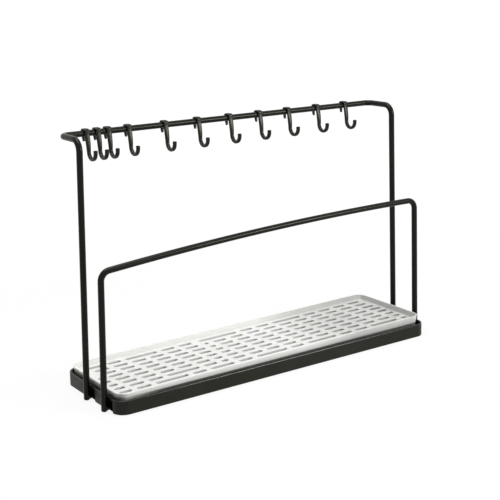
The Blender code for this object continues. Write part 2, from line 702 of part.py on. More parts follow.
def hook_mesh() -> bpy.types.Mesh:
    """Loft one hook through its cross-sections, each with a blunt ridge on its outer face."""
    stations = hook_stations()
    centres = np.array([(station.ahead, station.height) for station in stations])
    tangents = np.gradient(centres, axis=0)
    tangents /= np.linalg.norm(tangents, axis=1)[:, None]
    shape = bmesh.new()
    rings = []
    for station, tangent in zip(stations, tangents):
        outward = (-tangent[1], tangent[0])
        side = station.width / 2
        ridge = side * HOOK_RIDGE_SHARE
        back, front = -station.thickness / 2, station.thickness / 2
        shoulder = station.thickness * HOOK_SHOULDER_SHARE
        section = ((-side, back), (side, back), (side, shoulder), (ridge, front),
                   (-ridge, front), (-side, shoulder))
        rings.append([shape.verts.new((x, -(station.ahead + lift * outward[0]),
                                       station.height + lift * outward[1]))
                      for x, lift in section])
    for first, second in zip(rings, rings[1:]):
        for index in range(len(first)):
            following = (index + 1) % len(first)
            shape.faces.new((first[index], first[following], second[following], second[index]))
    shape.faces.new(rings[0])
    shape.faces.new(rings[-1])
    return mesh_from_bmesh("hook", shape)


def make_hooks(group: bpy.types.Collection) -> None:
    """Hang the hooks on the rail, each with its origin on the rail's axis."""
    mesh = hook_mesh()
    plastic = hook_plastic()
    for number, share in enumerate(HOOK_PLACE_SHARES, start=1):
        hook = object_from_mesh(f"hook_{number:02d}", mesh, group)
        hook.location = (share * 2 * RAIL_END_X, RAIL_Y, RAIL_HEIGHT)
        finish(hook, plastic)


def foot_mesh() -> bpy.types.Mesh:
    """Draw half the outline of a rubber foot, from its stud's top down to its underside."""
    stud_top = PAD_THICKNESS + PAD_STUD_LENGTH
    outline = ((0.0, stud_top), (PAD_STUD_RADIUS, stud_top), (PAD_STUD_RADIUS, PAD_THICKNESS),
               (PAD_RADIUS, PAD_THICKNESS), (PAD_RADIUS, PAD_EDGE), (PAD_RADIUS - PAD_EDGE, 0.0),
               (0.0, 0.0))
    shape = bmesh.new()
    points = [shape.verts.new((x, 0.0, z)) for x, z in outline]
    for upper, lower in zip(points, points[1:]):
        shape.edges.new((upper, lower))
    mesh = bpy.data.meshes.new("rubber_foot")
    shape.to_mesh(mesh)
    shape.free()
    return mesh


def make_rubber_feet(group: bpy.types.Collection) -> None:
    """Turn the four rubber feet and press their studs into the tray's bosses."""
    rubber = foot_rubber()
    names = ("rubber_foot_rear_left", "rubber_foot_rear_right",
             "rubber_foot_front_left", "rubber_foot_front_right")
    mesh = foot_mesh()
    mesh.materials.append(rubber)
    for name, (x, y) in zip(names, pad_places()):
        foot = object_from_mesh(name, mesh, group)
        foot.location = (x, y, 0.0)
        turned = foot.modifiers.new("turned", "SCREW")
        turned.axis = "Z"
        turned.angle = 2 * math.pi
        turned.steps = TURNED_STEPS
        turned.render_steps = TURNED_STEPS
        turned.use_merge_vertices = True
        turned.merge_threshold = 0.00001
        turned.use_smooth_shade = True


def main() -> None:
    """Build the whole rack."""
    clear_scene()
    rack = new_collection("draining_rack")
    tools = new_collection("draining_rack_tools")
    coating = frame_coating()
    make_base_tray(rack, tools)
    make_drainer_insert(rack, tools)
    make_rear_frame(rack, coating)
    make_guard_frame(rack, coating)
    make_hooks(rack)
    make_rubber_feet(rack)


main()
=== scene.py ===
"""Dresses the countertop draining rack and lights it for its picture.

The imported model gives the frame: every length here is in metres, +X runs along the rack, +Y to
its back and +Z up, and the origin lies on the counter under the middle of the tray. Each visible
piece is a fine numpy surface that stands for the CAD node of the same shape, except the rubber
feet, whose CAD nodes stay and only get their finish.
"""

import logging
import math
from dataclasses import dataclass, field
from enum import Enum
from functools import cached_property
from typing import Any, Iterable, Mapping, Sequence

import bmesh
import bpy
import numpy as np
from mathutils import Matrix, Vector


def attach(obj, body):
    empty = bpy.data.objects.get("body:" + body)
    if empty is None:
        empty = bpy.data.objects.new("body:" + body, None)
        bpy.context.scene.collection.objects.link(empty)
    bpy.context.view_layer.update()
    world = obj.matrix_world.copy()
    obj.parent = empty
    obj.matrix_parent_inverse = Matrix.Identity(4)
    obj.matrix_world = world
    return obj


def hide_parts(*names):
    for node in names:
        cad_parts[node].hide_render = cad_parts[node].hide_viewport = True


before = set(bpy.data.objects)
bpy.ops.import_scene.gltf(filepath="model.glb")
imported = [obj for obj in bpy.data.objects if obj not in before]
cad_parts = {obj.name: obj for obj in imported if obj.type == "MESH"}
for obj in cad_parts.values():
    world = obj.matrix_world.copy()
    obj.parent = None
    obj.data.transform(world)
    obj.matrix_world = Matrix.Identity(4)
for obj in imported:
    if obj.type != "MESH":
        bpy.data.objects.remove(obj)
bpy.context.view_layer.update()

Colour = tuple[float, float, float]
Point = tuple[float, float, float]
Band = tuple[float, float]
Number = Any  # a plain number, a node's socket or a Signal

LOG = logging.getLogger("draining_rack")
PICTURE_PIXELS = 500
SENSOR_WIDTH = 36.0
WHITE = (1.0, 1.0, 1.0, 1.0)
SHEEN = (1.0, 1.0, 0.86, 1.0)  # faintly olive cast of the black finishes' highlights
PLASTIC_IOR = 1.49
FACE_WEIGHT = 100  # how much large faces rule the normals at their borders, in percent
ROUND_SLOT_SHARE = 0.98  # share of a very short slot's length that its width may take

# Sizes that more than one piece or finish reads.
TRAY_LENGTH = 0.3990
TRAY_DEPTH = 0.1150
TRAY_WALL = 0.0024
TRAY_TOP = 0.0150
NOTCH_WIDTH = 0.0170
NOTCH_TOP_DROP = 0.0024
REAR_LEG_Y = 0.0028
GUARD_LEG_Y = -0.0346
FOOT_RUN = 0.0363  # from a leg's foot to the end of its inturned run
RAIL_HEIGHT = 0.2600
SEAT_GAP = 0.0003


class Cut(Enum):
    """What a tool body does to the piece that it meets."""

    JOIN = "UNION"
    REMOVE = "DIFFERENCE"


class End(Enum):
    """An end of the rack, with the sign of its X."""

    LEFT = -1
    RIGHT = 1


class Body(Enum):
    """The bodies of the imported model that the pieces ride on, apart from the hooks' own."""

    STAND = "stand"
    INSERT = "insert"


# ---------------------------------------------------------------- surfaces worked out with numpy


def rounded_rectangle(length: float, depth: float, radius: float, steps: int) -> np.ndarray:
    """Outline of a rectangle with round corners, anticlockwise about the origin.

    Each corner's arc has its centre one radius in from both sides: point = centre + radius *
    (cos a, sin a), with a running over a quarter turn for each corner in turn.

    Args:
        length: size along X.
        depth: size along Y.
        radius: corner radius.
        steps: number of chords in each corner.

    Returns:
        Array of 4 * (steps + 1) points in plan.
    """
    signs = np.array(((1, 1), (-1, 1), (-1, -1), (1, -1)), float)
    centres = signs * (length / 2 - radius, depth / 2 - radius)
    quarter = np.linspace(0.0, math.pi / 2, steps + 1)
    angles = quarter[None, :] + (np.arange(4) * math.pi / 2)[:, None]
    arcs = np.stack((np.cos(angles), np.sin(angles)), axis=-1) * radius
    return (centres[:, None, :] + arcs).reshape(-1, 2)


def inset_outlines(length: float, depth: float, corner_radius: float, insets: np.ndarray,
                   smallest_radius: float, steps: int) -> list[np.ndarray]:
    """Rounded rectangles at several insets: size - 2 * inset, corner radius - inset.

    Args:
        length: size along X at no inset.
        depth: size along Y at no inset.
        corner_radius: corner radius at no inset.
        insets: how far each outline lies inside the first.
        smallest_radius: radius that no corner goes below.
        steps: number of chords in each corner.

    Returns:
        One outline for each inset.
    """
    return [rounded_rectangle(length - 2 * inset, depth - 2 * inset,
                              max(corner_radius - inset, smallest_radius), steps)
            for inset in insets]


def stadiums(spans: np.ndarray, middle_y: np.ndarray, width: float, grow: float,
             steps: int) -> np.ndarray:
    """Outlines of slots with half-round ends, each grown by the same amount all round.

    The right end is middle + (radius cos a, radius sin a) for a from -90 to 90 degrees, and the
    left end is the same turned by half a turn. A slot shorter than it is wide becomes round.

    Args:
        spans: start and end of each slot along X.
        middle_y: place of each slot along Y.
        width: width of a slot before it is grown.
        grow: how far the outline lies outside the slot.
        steps: number of chords in each half-round end.

    Returns:
        Array of slots by 2 * (steps + 1) points in plan.
    """
    half = np.minimum(width, (spans[:, 1] - spans[:, 0]) * ROUND_SLOT_SHARE)[:, None] / 2
    radius = half + grow
    turn = np.linspace(-math.pi / 2, math.pi / 2, steps + 1)
    right_x = spans[:, 1, None] - half + radius * np.cos(turn)
    left_x = spans[:, 0, None] + half - radius * np.cos(turn)
    right_y = middle_y[:, None] + radius * np.sin(turn)
    left_y = middle_y[:, None] - radius * np.sin(turn)
    return np.stack((np.hstack((right_x, left_x)), np.hstack((right_y, left_y))), axis=-1)


def shell_mesh(name: str, rings: np.ndarray) -> bpy.types.Mesh:
    """Skin one or more stacks of rings and close both ends of each with a flat face.

    Ring r and ring r + 1 of a stack are joined point by point: the quad at point i has the
    corners (r, i), (r, i + 1), (r + 1, i + 1) and (r + 1, i), counted round the ring.

    Args:
        name: name of the mesh.
        rings: points as rings by points by 3, or stacks by rings by points by 3.

    Returns:
        The closed mesh, its faces outwards.
    """
    stacks = rings if rings.ndim == 4 else rings[None]
    count, levels, around, _ = stacks.shape
    index = np.arange(count * levels * around).reshape(count, levels, around)
    following = np.roll(index, -1, axis=2)
    quads = np.stack((index[:, :-1], following[:, :-1], following[:, 1:], index[:, 1:]), axis=-1)
    faces = quads.reshape(-1, 4).tolist()
    faces += index[:, 0, ::-1].tolist() + index[:, -1].tolist()
    mesh = bpy.data.meshes.new(name)
    mesh.from_pydata(stacks.reshape(-1, 3).tolist(), [], faces)
    point_outwards(mesh)
    return mesh


def point_outwards(mesh: bpy.types.Mesh) -> None:
    """Turn every face of a closed mesh outwards.

    Args:
        mesh: mesh that is changed.
    """
    shape = bmesh.new()
    shape.from_mesh(mesh)
    bmesh.ops.recalc_face_normals(shape, faces=shape.faces)
    shape.to_mesh(mesh)
    shape.free()


def lofted_rings(outlines: Sequence[np.ndarray], heights: Sequence[float],
                 slopes: Sequence[float]) -> np.ndarray:
    """Lift plan outlines to their heights: z = height + slope * x.

    Args:
        outlines: outlines in plan, all with the same number of points.
        heights: height of each ring at x = 0.
        slopes: rise of each ring per metre along X.

    Returns:
        Array of rings by points by 3.
    """
    plan = np.stack(outlines)
    height = np.asarray(heights)[:, None] + np.asarray(slopes)[:, None] * plan[..., 0]
    return np.concatenate((plan, height[..., None]), axis=-1)


def upright_prism(plan: np.ndarray, low: float, high: float) -> np.ndarray:
    """Two rings of an upright prism: its plan outline at z = low and at z = high."""
    return lofted_rings([plan, plan], [low, high], [0.0, 0.0])


def quarter_turn(steps: int) -> tuple[np.ndarray, np.ndarray]:
    """Cosines and sines of a quarter turn in equal steps."""
    turn = np.linspace(0.0, math.pi / 2, steps + 1)
    return np.cos(turn), np.sin(turn)


def whole_turn(points: int) -> np.ndarray:
    """Angles of a whole turn in equal steps, without the last, which is the first again."""
    return np.linspace(0.0, 2 * math.pi, points, endpoint=False)


def squared_circle(angle: np.ndarray, power: float) -> tuple[np.ndarray, np.ndarray]:
    """Superellipse of half-axes 1: sign(cos a) |cos a|^(2 / power), the same with sin a.

    Args:
        angle: angles round it.
        power: 2 for a circle, more for a squarer shape.

    Returns:
        Its points' two coordinates.
    """
    cosine, sine = np.cos(angle), np.sin(angle)
    return (np.sign(cosine) * np.abs(cosine) ** (2 / power),
            np.sign(sine) * np.abs(sine) ** (2 / power))


def bent_path(corners: Sequence[Sequence[float]], radii: Sequence[float],
              steps: int) -> np.ndarray:
    """Centre line of a wire that is bent round its corners.

    An arc leaves the straight run a tangent length before the corner. Its point at turn a is
    start + arriving * radius * sin a + inward * radius * (1 - cos a).

    Args:
        corners: the path's ends and corners.
        radii: bend radius at each of them, zero where the wire isn't bent.
        steps: chords in each bend.

    Returns:
        Points of the centre line.
    """
    points = np.asarray(corners, float)
    runs = np.diff(points, axis=0)
    ways = runs / np.linalg.norm(runs, axis=1)[:, None]
    path = [points[:1]]
    for corner, arriving, leaving, radius in zip(points[1:-1], ways, ways[1:], radii[1:]):
        if radius == 0.0:
            path.append(corner[None])
            continue
        turn = math.acos(float(np.clip(arriving @ leaving, -1.0, 1.0)))
        start = corner - arriving * radius * math.tan(turn / 2)
        inward = leaving - arriving * (arriving @ leaving)
        inward /= np.linalg.norm(inward)
        angle = np.linspace(0.0, turn, steps + 1)[:, None]
        path.append(start + arriving * radius * np.sin(angle)
                    + inward * radius * (1 - np.cos(angle)))
    path.append(points[-1:])
    return np.vstack(path)


def tube_rings(path: np.ndarray, radius: float, around: int, end_chamfer: float) -> np.ndarray:
    """Round wire along a path, with a small chamfer at its two cut ends.

    Each ring is centre + radius * (side cos a + up sin a). The side vector is the cross product
    of the wire's direction with the space diagonal, which no run or bend of the wire follows,
    and up is the direction crossed with it.

    Args:
        path: points of the centre line.
        radius: radius of the wire.
        around: points in a ring.
        end_chamfer: size of the chamfer at both ends.

    Returns:
        Array of rings by points by 3.
    """
    first = path[0] + (path[1] - path[0]) * end_chamfer / np.linalg.norm(path[1] - path[0])
    last = path[-1] + (path[-2] - path[-1]) * end_chamfer / np.linalg.norm(path[-2] - path[-1])
    line = np.vstack((path[:1], first, path[1:-1], last, path[-1:]))
    reach = np.full(len(line), radius)
    reach[[0, -1]] -= end_chamfer
    ways = np.gradient(line, axis=0)
    ways /= np.linalg.norm(ways, axis=1)[:, None]
    side = np.cross(ways, np.ones(3))
    side /= np.linalg.norm(side, axis=1)[:, None]
    up = np.cross(ways, side)
    angle = whole_turn(around)
    circle = (side[:, None] * np.cos(angle)[None, :, None]
              + up[:, None] * np.sin(angle)[None, :, None])
    return line[:, None] + circle * reach[:, None, None]


# ------------------------------------------------------------------------- objects and tool bodies


def new_object(name: str, data: bpy.types.ID) -> bpy.types.Object:
    """Return an object at the origin, linked to the scene.

    Args:
        name: name of the object.
        data: mesh, light or camera that it shows.

    Returns:
        The object.
    """
    made = bpy.data.objects.new(name, data)
    bpy.context.scene.collection.objects.link(made)
    return made


def apply_modifiers(piece: bpy.types.Object) -> None:
    """Give a piece the mesh that its modifiers make, and clear them.

    Args:
        piece: object whose mesh is replaced.
    """
    bpy.context.view_layer.update()
    result = piece.evaluated_get(bpy.context.evaluated_depsgraph_get())
    made = bpy.data.meshes.new_from_object(result)
    piece.modifiers.clear()
    old, piece.data = piece.data, made
    bpy.data.meshes.remove(old)
    made.name = piece.name


def carve(piece: bpy.types.Object, tool_name: str, rings: np.ndarray, cut: Cut) -> None:
    """Join a tool body to a piece or take it away, and apply the result to the piece's mesh.

    Args:
        piece: object whose mesh is changed.
        tool_name: name of the tool body.
        rings: rings of the tool body, as shell_mesh takes them.
        cut: whether the body is joined or removed.
    """
    tool = new_object(tool_name, shell_mesh(tool_name, rings))
    modifier = piece.modifiers.new(tool_name, "BOOLEAN")
    modifier.operation = cut.value
    modifier.solver = "EXACT"
    modifier.object = tool
    apply_modifiers(piece)
    tool_mesh = tool.data
    bpy.data.objects.remove(tool, do_unlink=True)
    bpy.data.meshes.remove(tool_mesh)


def smooth_by_angle(piece: bpy.types.Object, degrees: float, weighted: bool = False) -> None:
    """Shade a piece smoothly and keep its sharp edges.

    Args:
        piece: object whose mesh is shaded.
        degrees: angle above which an edge stays sharp.
        weighted: whether large faces keep their own direction at their borders.
    """
    piece.data.shade_smooth()
    piece.data.set_sharp_from_angle(angle=math.radians(degrees))
    if weighted:
        modifier = piece.modifiers.new("weighted_normals", "WEIGHTED_NORMAL")
        modifier.keep_sharp = True
        modifier.weight = FACE_WEIGHT
        apply_modifiers(piece)


# --------------------------------------------------------------------------------- shader graphs


@dataclass(frozen=True)
class Grain:
    """Noise in a finish: its size and, where only a part of it shows, between which levels.

    The scale is in waves per metre, detail and roughness are the number and strength of its
    finer octaves, and the stretch is a factor on each coordinate. The noise lies about 0.5, or
    rises from 0 to 1 between the two levels of its band.
    """

    scale: float
    detail: float = 2.0
    roughness: float = 0.5
    band: Band | None = None
    stretch: tuple[float, float, float] = (1.0, 1.0, 1.0)


@dataclass(frozen=True)
class Relief:
    """Bumps in a surface: their noise, their real height in metres and their strength."""

    grain: Grain
    height: float
    strength: float


@dataclass(frozen=True)
class Signal:
    """A number or colour that runs through a shader graph, with arithmetic on it."""

    graph: "Graph"
    socket: bpy.types.NodeSocket

    def maths(self, operation: str, first: Number, second: Number) -> "Signal":
        """Return the result of one Math node on two values or signals."""
        node = self.graph.node("ShaderNodeMath", {"operation": operation}, {0: first, 1: second})
        return Signal(self.graph, node.outputs[0])

    def __add__(self, other: Number) -> "Signal":
        """Sum of two signals."""
        return self.maths("ADD", self, other)

    __radd__ = __add__

    def __mul__(self, other: Number) -> "Signal":
        """Product of two signals."""
        return self.maths("MULTIPLY", self, other)

    __rmul__ = __mul__

    def __sub__(self, other: Number) -> "Signal":
        """This signal less another."""
        return self.maths("SUBTRACT", self, other)

    def __rsub__(self, other: Number) -> "Signal":
        """Another signal less this one."""
        return self.maths("SUBTRACT", other, self)

    def __pow__(self, power: float) -> "Signal":
        """This signal to a power."""
        return self.maths("POWER", self, power)

    def __abs__(self) -> "Signal":
        """This signal without its sign."""
        return self.maths("ABSOLUTE", self, 0.0)

    def at_least(self, other: Number) -> "Signal":
        """The larger of this signal and another."""
        return self.maths("MAXIMUM", self, other)

    def smooth_step(self, low: float, high: float) -> "Signal":
        """Rise smoothly from 0 at low to 1 at high."""
        node = self.graph.node(
            "ShaderNodeMapRange", {"interpolation_type": "SMOOTHSTEP", "clamp": True},
            {"Value": self, "From Min": low, "From Max": high, "To Min": 0.0, "To Max": 1.0})
        return Signal(self.graph, node.outputs["Result"])

    def passes(self, place: float, band: Band) -> "Signal":
        """Rise smoothly from 0 to 1 over a band that is given as distances from a place."""
        return self.smooth_step(place + band[0], place + band[1])

    def swing(self, spread: float) -> "Signal":
        """Turn a noise about 0.5 into one about 0: (noise - 0.5) * spread."""
        return (self - 0.5) * spread


class Graph:
    """Node graph of one material, or of the world."""

    def __init__(self, owner: bpy.types.Material | bpy.types.World) -> None:
        """Start a graph that holds no more than its output.

        Args:
            owner: material or world that the graph belongs to.
        """
        owner.use_nodes = True
        self.owner = owner
        self.tree = owner.node_tree
        self.tree.nodes.clear()
        kind = "World" if isinstance(owner, bpy.types.World) else "Material"
        self.output = self.node(f"ShaderNodeOutput{kind}")

    @cached_property
    def place(self) -> bpy.types.NodeSocket:
        """Object coordinates of the shaded point."""
        return self.node("ShaderNodeTexCoord").outputs["Object"]

    def node(self, kind: str, settings: Mapping[str, Any] | None = None,
             inputs: Mapping[str | int, Any] | None = None) -> bpy.types.Node:
        """Add any node, set it up and feed its sockets.

        Args:
            kind: type of the node.
            settings: properties that are set first.
            inputs: value, socket or signal for each named or numbered input.

        Returns:
            The new node.
        """
        made = self.tree.nodes.new(kind)
        for key, value in (settings or {}).items():
            setattr(made, key, value)
        for key, value in (inputs or {}).items():
            source = value.socket if isinstance(value, Signal) else value
            if isinstance(source, bpy.types.NodeSocket):
                self.tree.links.new(source, made.inputs[key])
            else:
                made.inputs[key].default_value = source
        return made

    def axes(self) -> tuple[Signal, Signal, Signal]:
        """Return the object coordinates X, Y and Z as signals."""
        parts = self.node("ShaderNodeSeparateXYZ", None, {0: self.place})
        return tuple(Signal(self, parts.outputs[axis]) for axis in range(3))

    def noise(self, grain: Grain) -> Signal:
        """Return noise on the object coordinates.

        Args:
            grain: what noise it is.

        Returns:
            The noise as a number, about 0.5 or from 0 to 1 as the grain says.
        """
        place = self.node("ShaderNodeMapping", None,
                          {"Vector": self.place, "Scale": grain.stretch})
        made = self.node("ShaderNodeTexNoise", None,
                         {"Vector": place.outputs[0], "Scale": grain.scale,
                          "Detail": grain.detail, "Roughness": grain.roughness})
        level = Signal(self, made.outputs["Fac"])
        return level if grain.band is None else level.smooth_step(*grain.band)

    def cells(self, scale: float) -> Signal:
        """Return the distance to the nearest of scattered points, for pits and specks."""
        made = self.node("ShaderNodeTexVoronoi", None, {"Vector": self.place, "Scale": scale})
        return Signal(self, made.outputs["Distance"])

    def mixed(self, first: Colour | Signal, second: Colour | Signal, factor: Signal) -> Signal:
        """Return a colour between two others.

        Args:
            first: colour or signal where the factor is 0.
            second: colour or signal where the factor is 1.
            factor: the share of the second colour.

        Returns:
            The mixed colour.
        """
        colours = [value if isinstance(value, Signal) else (*value, 1.0)
                   for value in (first, second)]
        made = self.node("ShaderNodeMix", {"data_type": "RGBA"},
                         {0: factor, 6: colours[0], 7: colours[1]})
        return Signal(self, made.outputs[2])

    def bump(self, relief: Relief, under: Signal | None = None,
             share: Signal | None = None) -> Signal:
        """Return the normal of a rough surface.

        Args:
            relief: what bumps it has.
            under: normal that they are laid over.
            share: how much of their height is left at each place.

        Returns:
            The normal as a signal.
        """
        level = self.noise(relief.grain)
        inputs: dict[str | int, Any] = {"Height": level if share is None else level * share,
                                        "Distance": relief.height, "Strength": relief.strength}
        if under is not None:
            inputs["Normal"] = under
        return Signal(self, self.node("ShaderNodeBump", None, inputs).outputs[0])

    def rays(self, *kinds: str) -> Signal:
        """Return 1 to the named kinds of rays and 0 to all others.

        Args:
            kinds: such as Camera or Glossy, as Light Path names them.

        Returns:
            The largest of their signals.
        """
        path = self.node("ShaderNodeLightPath")
        seen, *others = (Signal(self, path.outputs[f"Is {kind} Ray"]) for kind in kinds)
        for other in others:
            seen = seen.at_least(other)
        return seen

    def blended(self, first: bpy.types.Node, second: bpy.types.Node,
                share: Signal) -> bpy.types.Node:
        """Return a mix of two shaders, with this share of the second."""
        return self.node("ShaderNodeMixShader", None,
                         {0: share, 1: first.outputs[0], 2: second.outputs[0]})

    def close(self, shader: bpy.types.Node) -> bpy.types.Material | bpy.types.World:
        """Lead a shader to the output and return the material or world that it makes."""
        self.tree.links.new(shader.outputs[0], self.output.inputs["Surface"])
        return self.owner

    def surface(self, inputs: Mapping[str | int, Any],
                inner: Mapping[str | int, Any] | None = None,
                share: Signal | None = None) -> bpy.types.Material:
        """Close the graph with a Principled shader, or a mix of two, and return the material.

        Args:
            inputs: value or signal of each of the shader's sockets.
            inner: the same for a second shader, for places that have another finish.
            share: share of the second shader, from 0 to 1.

        Returns:
            The finished material.
        """
        shader = self.node("ShaderNodeBsdfPrincipled", None, inputs)
        if inner is not None and share is not None:
            second = self.node("ShaderNodeBsdfPrincipled", None, inner)
            shader = self.blended(shader, second, share)
        return self.close(shader)


# -------------------------------------------------------------------------------------- finishes
#
# A band that goes with a place or a height is given as distances from it.


@dataclass(frozen=True)
class TrayPlastic:
    """Black moulded plastic: fine spark texture on the walls and a polished rim. Painted shade
    darkens it towards both ends. A near-black matte shader paints shadow into the notches and onto
    the blocks behind them, and covers part of the rim's flat top as a duller finish with painted
    shade.
    """

    name: str = "tray_plastic"
    colour: Colour = (0.0108, 0.0108, 0.0080)
    dusty: Colour = (0.0185, 0.0183, 0.0148)
    # painted shade: the colour that the tray darkens to towards both ends
    painted_end_shade: Colour = (0.0050, 0.0050, 0.0038)
    # painted shadow: near-black of the second shader, laid into the notches and onto the blocks
    # behind them, and partly onto the rim's flat top
    painted_shadow_colour: Colour = (0.0015, 0.0015, 0.0013)
    clouds: Grain = Grain(34.0, 4.0, 0.6, (0.38, 0.66))
    cloud_share: float = 0.55
    grime: Grain = Grain(160.0, 3.0)
    grime_band: Band = (0.0008, 0.0052)
    grime_share: float = 0.5
    scuffs: Grain = Grain(420.0, 3.0, 0.7, (0.62, 0.78), (0.06, 0.06, 1.0))
    scuff_share: float = 0.25
    scuff_dullness: float = 0.05
    # painted shade towards the ends: where along X it is least, the band of distances over which
    # it sets in, and its share
    end_shade_middle: float = -0.0300
    end_shade_band: Band = (0.0800, 0.2100)
    painted_end_shade_share: float = 0.65
    wall_roughness: float = 0.42
    rim_roughness: float = 0.20
    patches: Grain = Grain(90.0, 3.0)
    patch_spread: float = 0.14
    rim_height: float = 0.0142
    rim_band: Band = (-0.0004, 0.0003)
    rim_calm: float = 0.9
    coat_weight: float = 0.6
    coat_roughness: float = 0.14
    # the rim's flat top, which takes part of the painted-shadow shader: a duller finish there, and
    # painted shade
    crown_band: Band = (0.00070, 0.00078)
    crown_dullness_and_shade: float = 0.60
    half_length: float = TRAY_LENGTH / 2
    recess_band: Band = (-0.0013, -0.0003)
    end_face_band: Band = (-0.0023, -0.0021)
    block_band: Band = (-0.0120, -0.0110)
    notch_top: float = TRAY_TOP - NOTCH_TOP_DROP
    notch_top_band: Band = (-0.0002, 0.0002)
    notch_half_width: float = NOTCH_WIDTH / 2
    notch_side_band: Band = (-0.0002, 0.0010)
    basin_underside: float = 0.0090
    underside_band: Band = (0.0, 0.0003)
    leg_places: tuple[float, float] = (REAR_LEG_Y, GUARD_LEG_Y)
    specular_level: float = 0.19
    notch_roughness: float = 0.9
    notch_specular_level: float = 0.02
    spark: Relief = Relief(Grain(3200.0, 2.0, 0.6), 0.00002, 0.55)
    waves: Relief = Relief(Grain(60.0), 0.00012, 0.30)

    def notches(self, along: Signal, across: Signal, height: Signal) -> Signal:
        """Mask of the painted shadow on the notches' inner faces and on the blocks behind them.

        It is the product of three masks: inside the end face and below the notches' tops, near
        a leg, and either behind the end face's plane or under the basin.

        Args:
            along: the X coordinate.
            across: the Y coordinate.
            height: the Z coordinate.

        Returns:
            1 in the notches and 0 elsewhere.
        """
        reach = abs(along)
        sunk = 1.0 - reach.passes(self.half_length, self.recess_band)
        sunk = sunk * (1.0 - height.passes(self.notch_top, self.notch_top_band))
        rear, guard = (1.0 - abs(across - leg_y).passes(self.notch_half_width,
                                                        self.notch_side_band)
                       for leg_y in self.leg_places)
        end_face = reach.passes(self.half_length, self.end_face_band)
        below = 1.0 - height.passes(self.basin_underside, self.underside_band)
        below = below * reach.passes(self.half_length, self.block_band)
        return sunk * (rear + guard) * end_face.at_least(below)

    def material(self) -> bpy.types.Material:
        """Build the material.

        Returns:
            The material.
        """
        graph = Graph(bpy.data.materials.new(self.name))
        along, across, height = graph.axes()
        rim = height.passes(self.rim_height, self.rim_band)
        crown = height.passes(self.rim_height, self.crown_band)
        grime = (1.0 - height.smooth_step(*self.grime_band)) * graph.noise(self.grime)
        scuffs = graph.noise(self.scuffs)
        dust = (graph.noise(self.clouds) * self.cloud_share + grime * self.grime_share
                + scuffs * self.scuff_share)
        tint = graph.mixed(self.colour, self.dusty, dust)
        # Painted shade: the plastic is darkened towards both ends, more at the right.
        far = abs(along - self.end_shade_middle).smooth_step(*self.end_shade_band)
        tint = graph.mixed(tint, self.painted_end_shade, far * self.painted_end_shade_share)
        rough = (self.wall_roughness + graph.noise(self.patches).swing(self.patch_spread)
                 - rim * (self.wall_roughness - self.rim_roughness)
                 + scuffs * self.scuff_dullness)
        fine = graph.bump(self.spark, share=1.0 - rim * self.rim_calm)
        # Painted shadow: the notches and the blocks behind them take the near-black matte shader.
        # The rim's flat top takes part of it, as a duller finish with painted shade.
        notches = self.notches(along, across, height)
        return graph.surface({"Base Color": tint, "Roughness": rough,
                              "Normal": graph.bump(self.waves, fine), "IOR": PLASTIC_IOR,
                              "Specular IOR Level": self.specular_level,
                              "Specular Tint": SHEEN,
                              "Coat Weight": rim * (1.0 - crown) * self.coat_weight,
                              "Coat Roughness": self.coat_roughness},
                             {"Base Color": (*self.painted_shadow_colour, 1.0),
                              "Roughness": self.notch_roughness, "IOR": PLASTIC_IOR,
                              "Specular IOR Level": self.notch_specular_level},
                             notches.at_least(crown * self.crown_dullness_and_shade))


@dataclass(frozen=True)
class InsertPlan:
    """Where the insert lies in the tray, for its shape and for its finish."""

    left_gap: float = 0.0009
    right_gap: float = 0.0022
    back_gap: float = 0.0008
    front_gap: float = 0.0018
    corner_radius: float = 0.0115
    floor_top: float = 0.0180
    rim_top: float = 0.0224
    rise_right: float = 0.0037

    @property
    def length(self) -> float:
        """Size of the insert along X."""
        return TRAY_LENGTH - 2 * TRAY_WALL - self.left_gap - self.right_gap

    @property
    def depth(self) -> float:
        """Size of the insert along Y."""
        return TRAY_DEPTH - 2 * TRAY_WALL - self.back_gap - self.front_gap

    @property
    def middle(self) -> np.ndarray:
        """Plan place of the insert's middle."""
        return np.array(((self.left_gap - self.right_gap) / 2,
                         (self.front_gap - self.back_gap) / 2))

    @property
    def slope(self) -> float:
        """Rise of its floor and rim per metre along X."""
        return self.rise_right / self.length


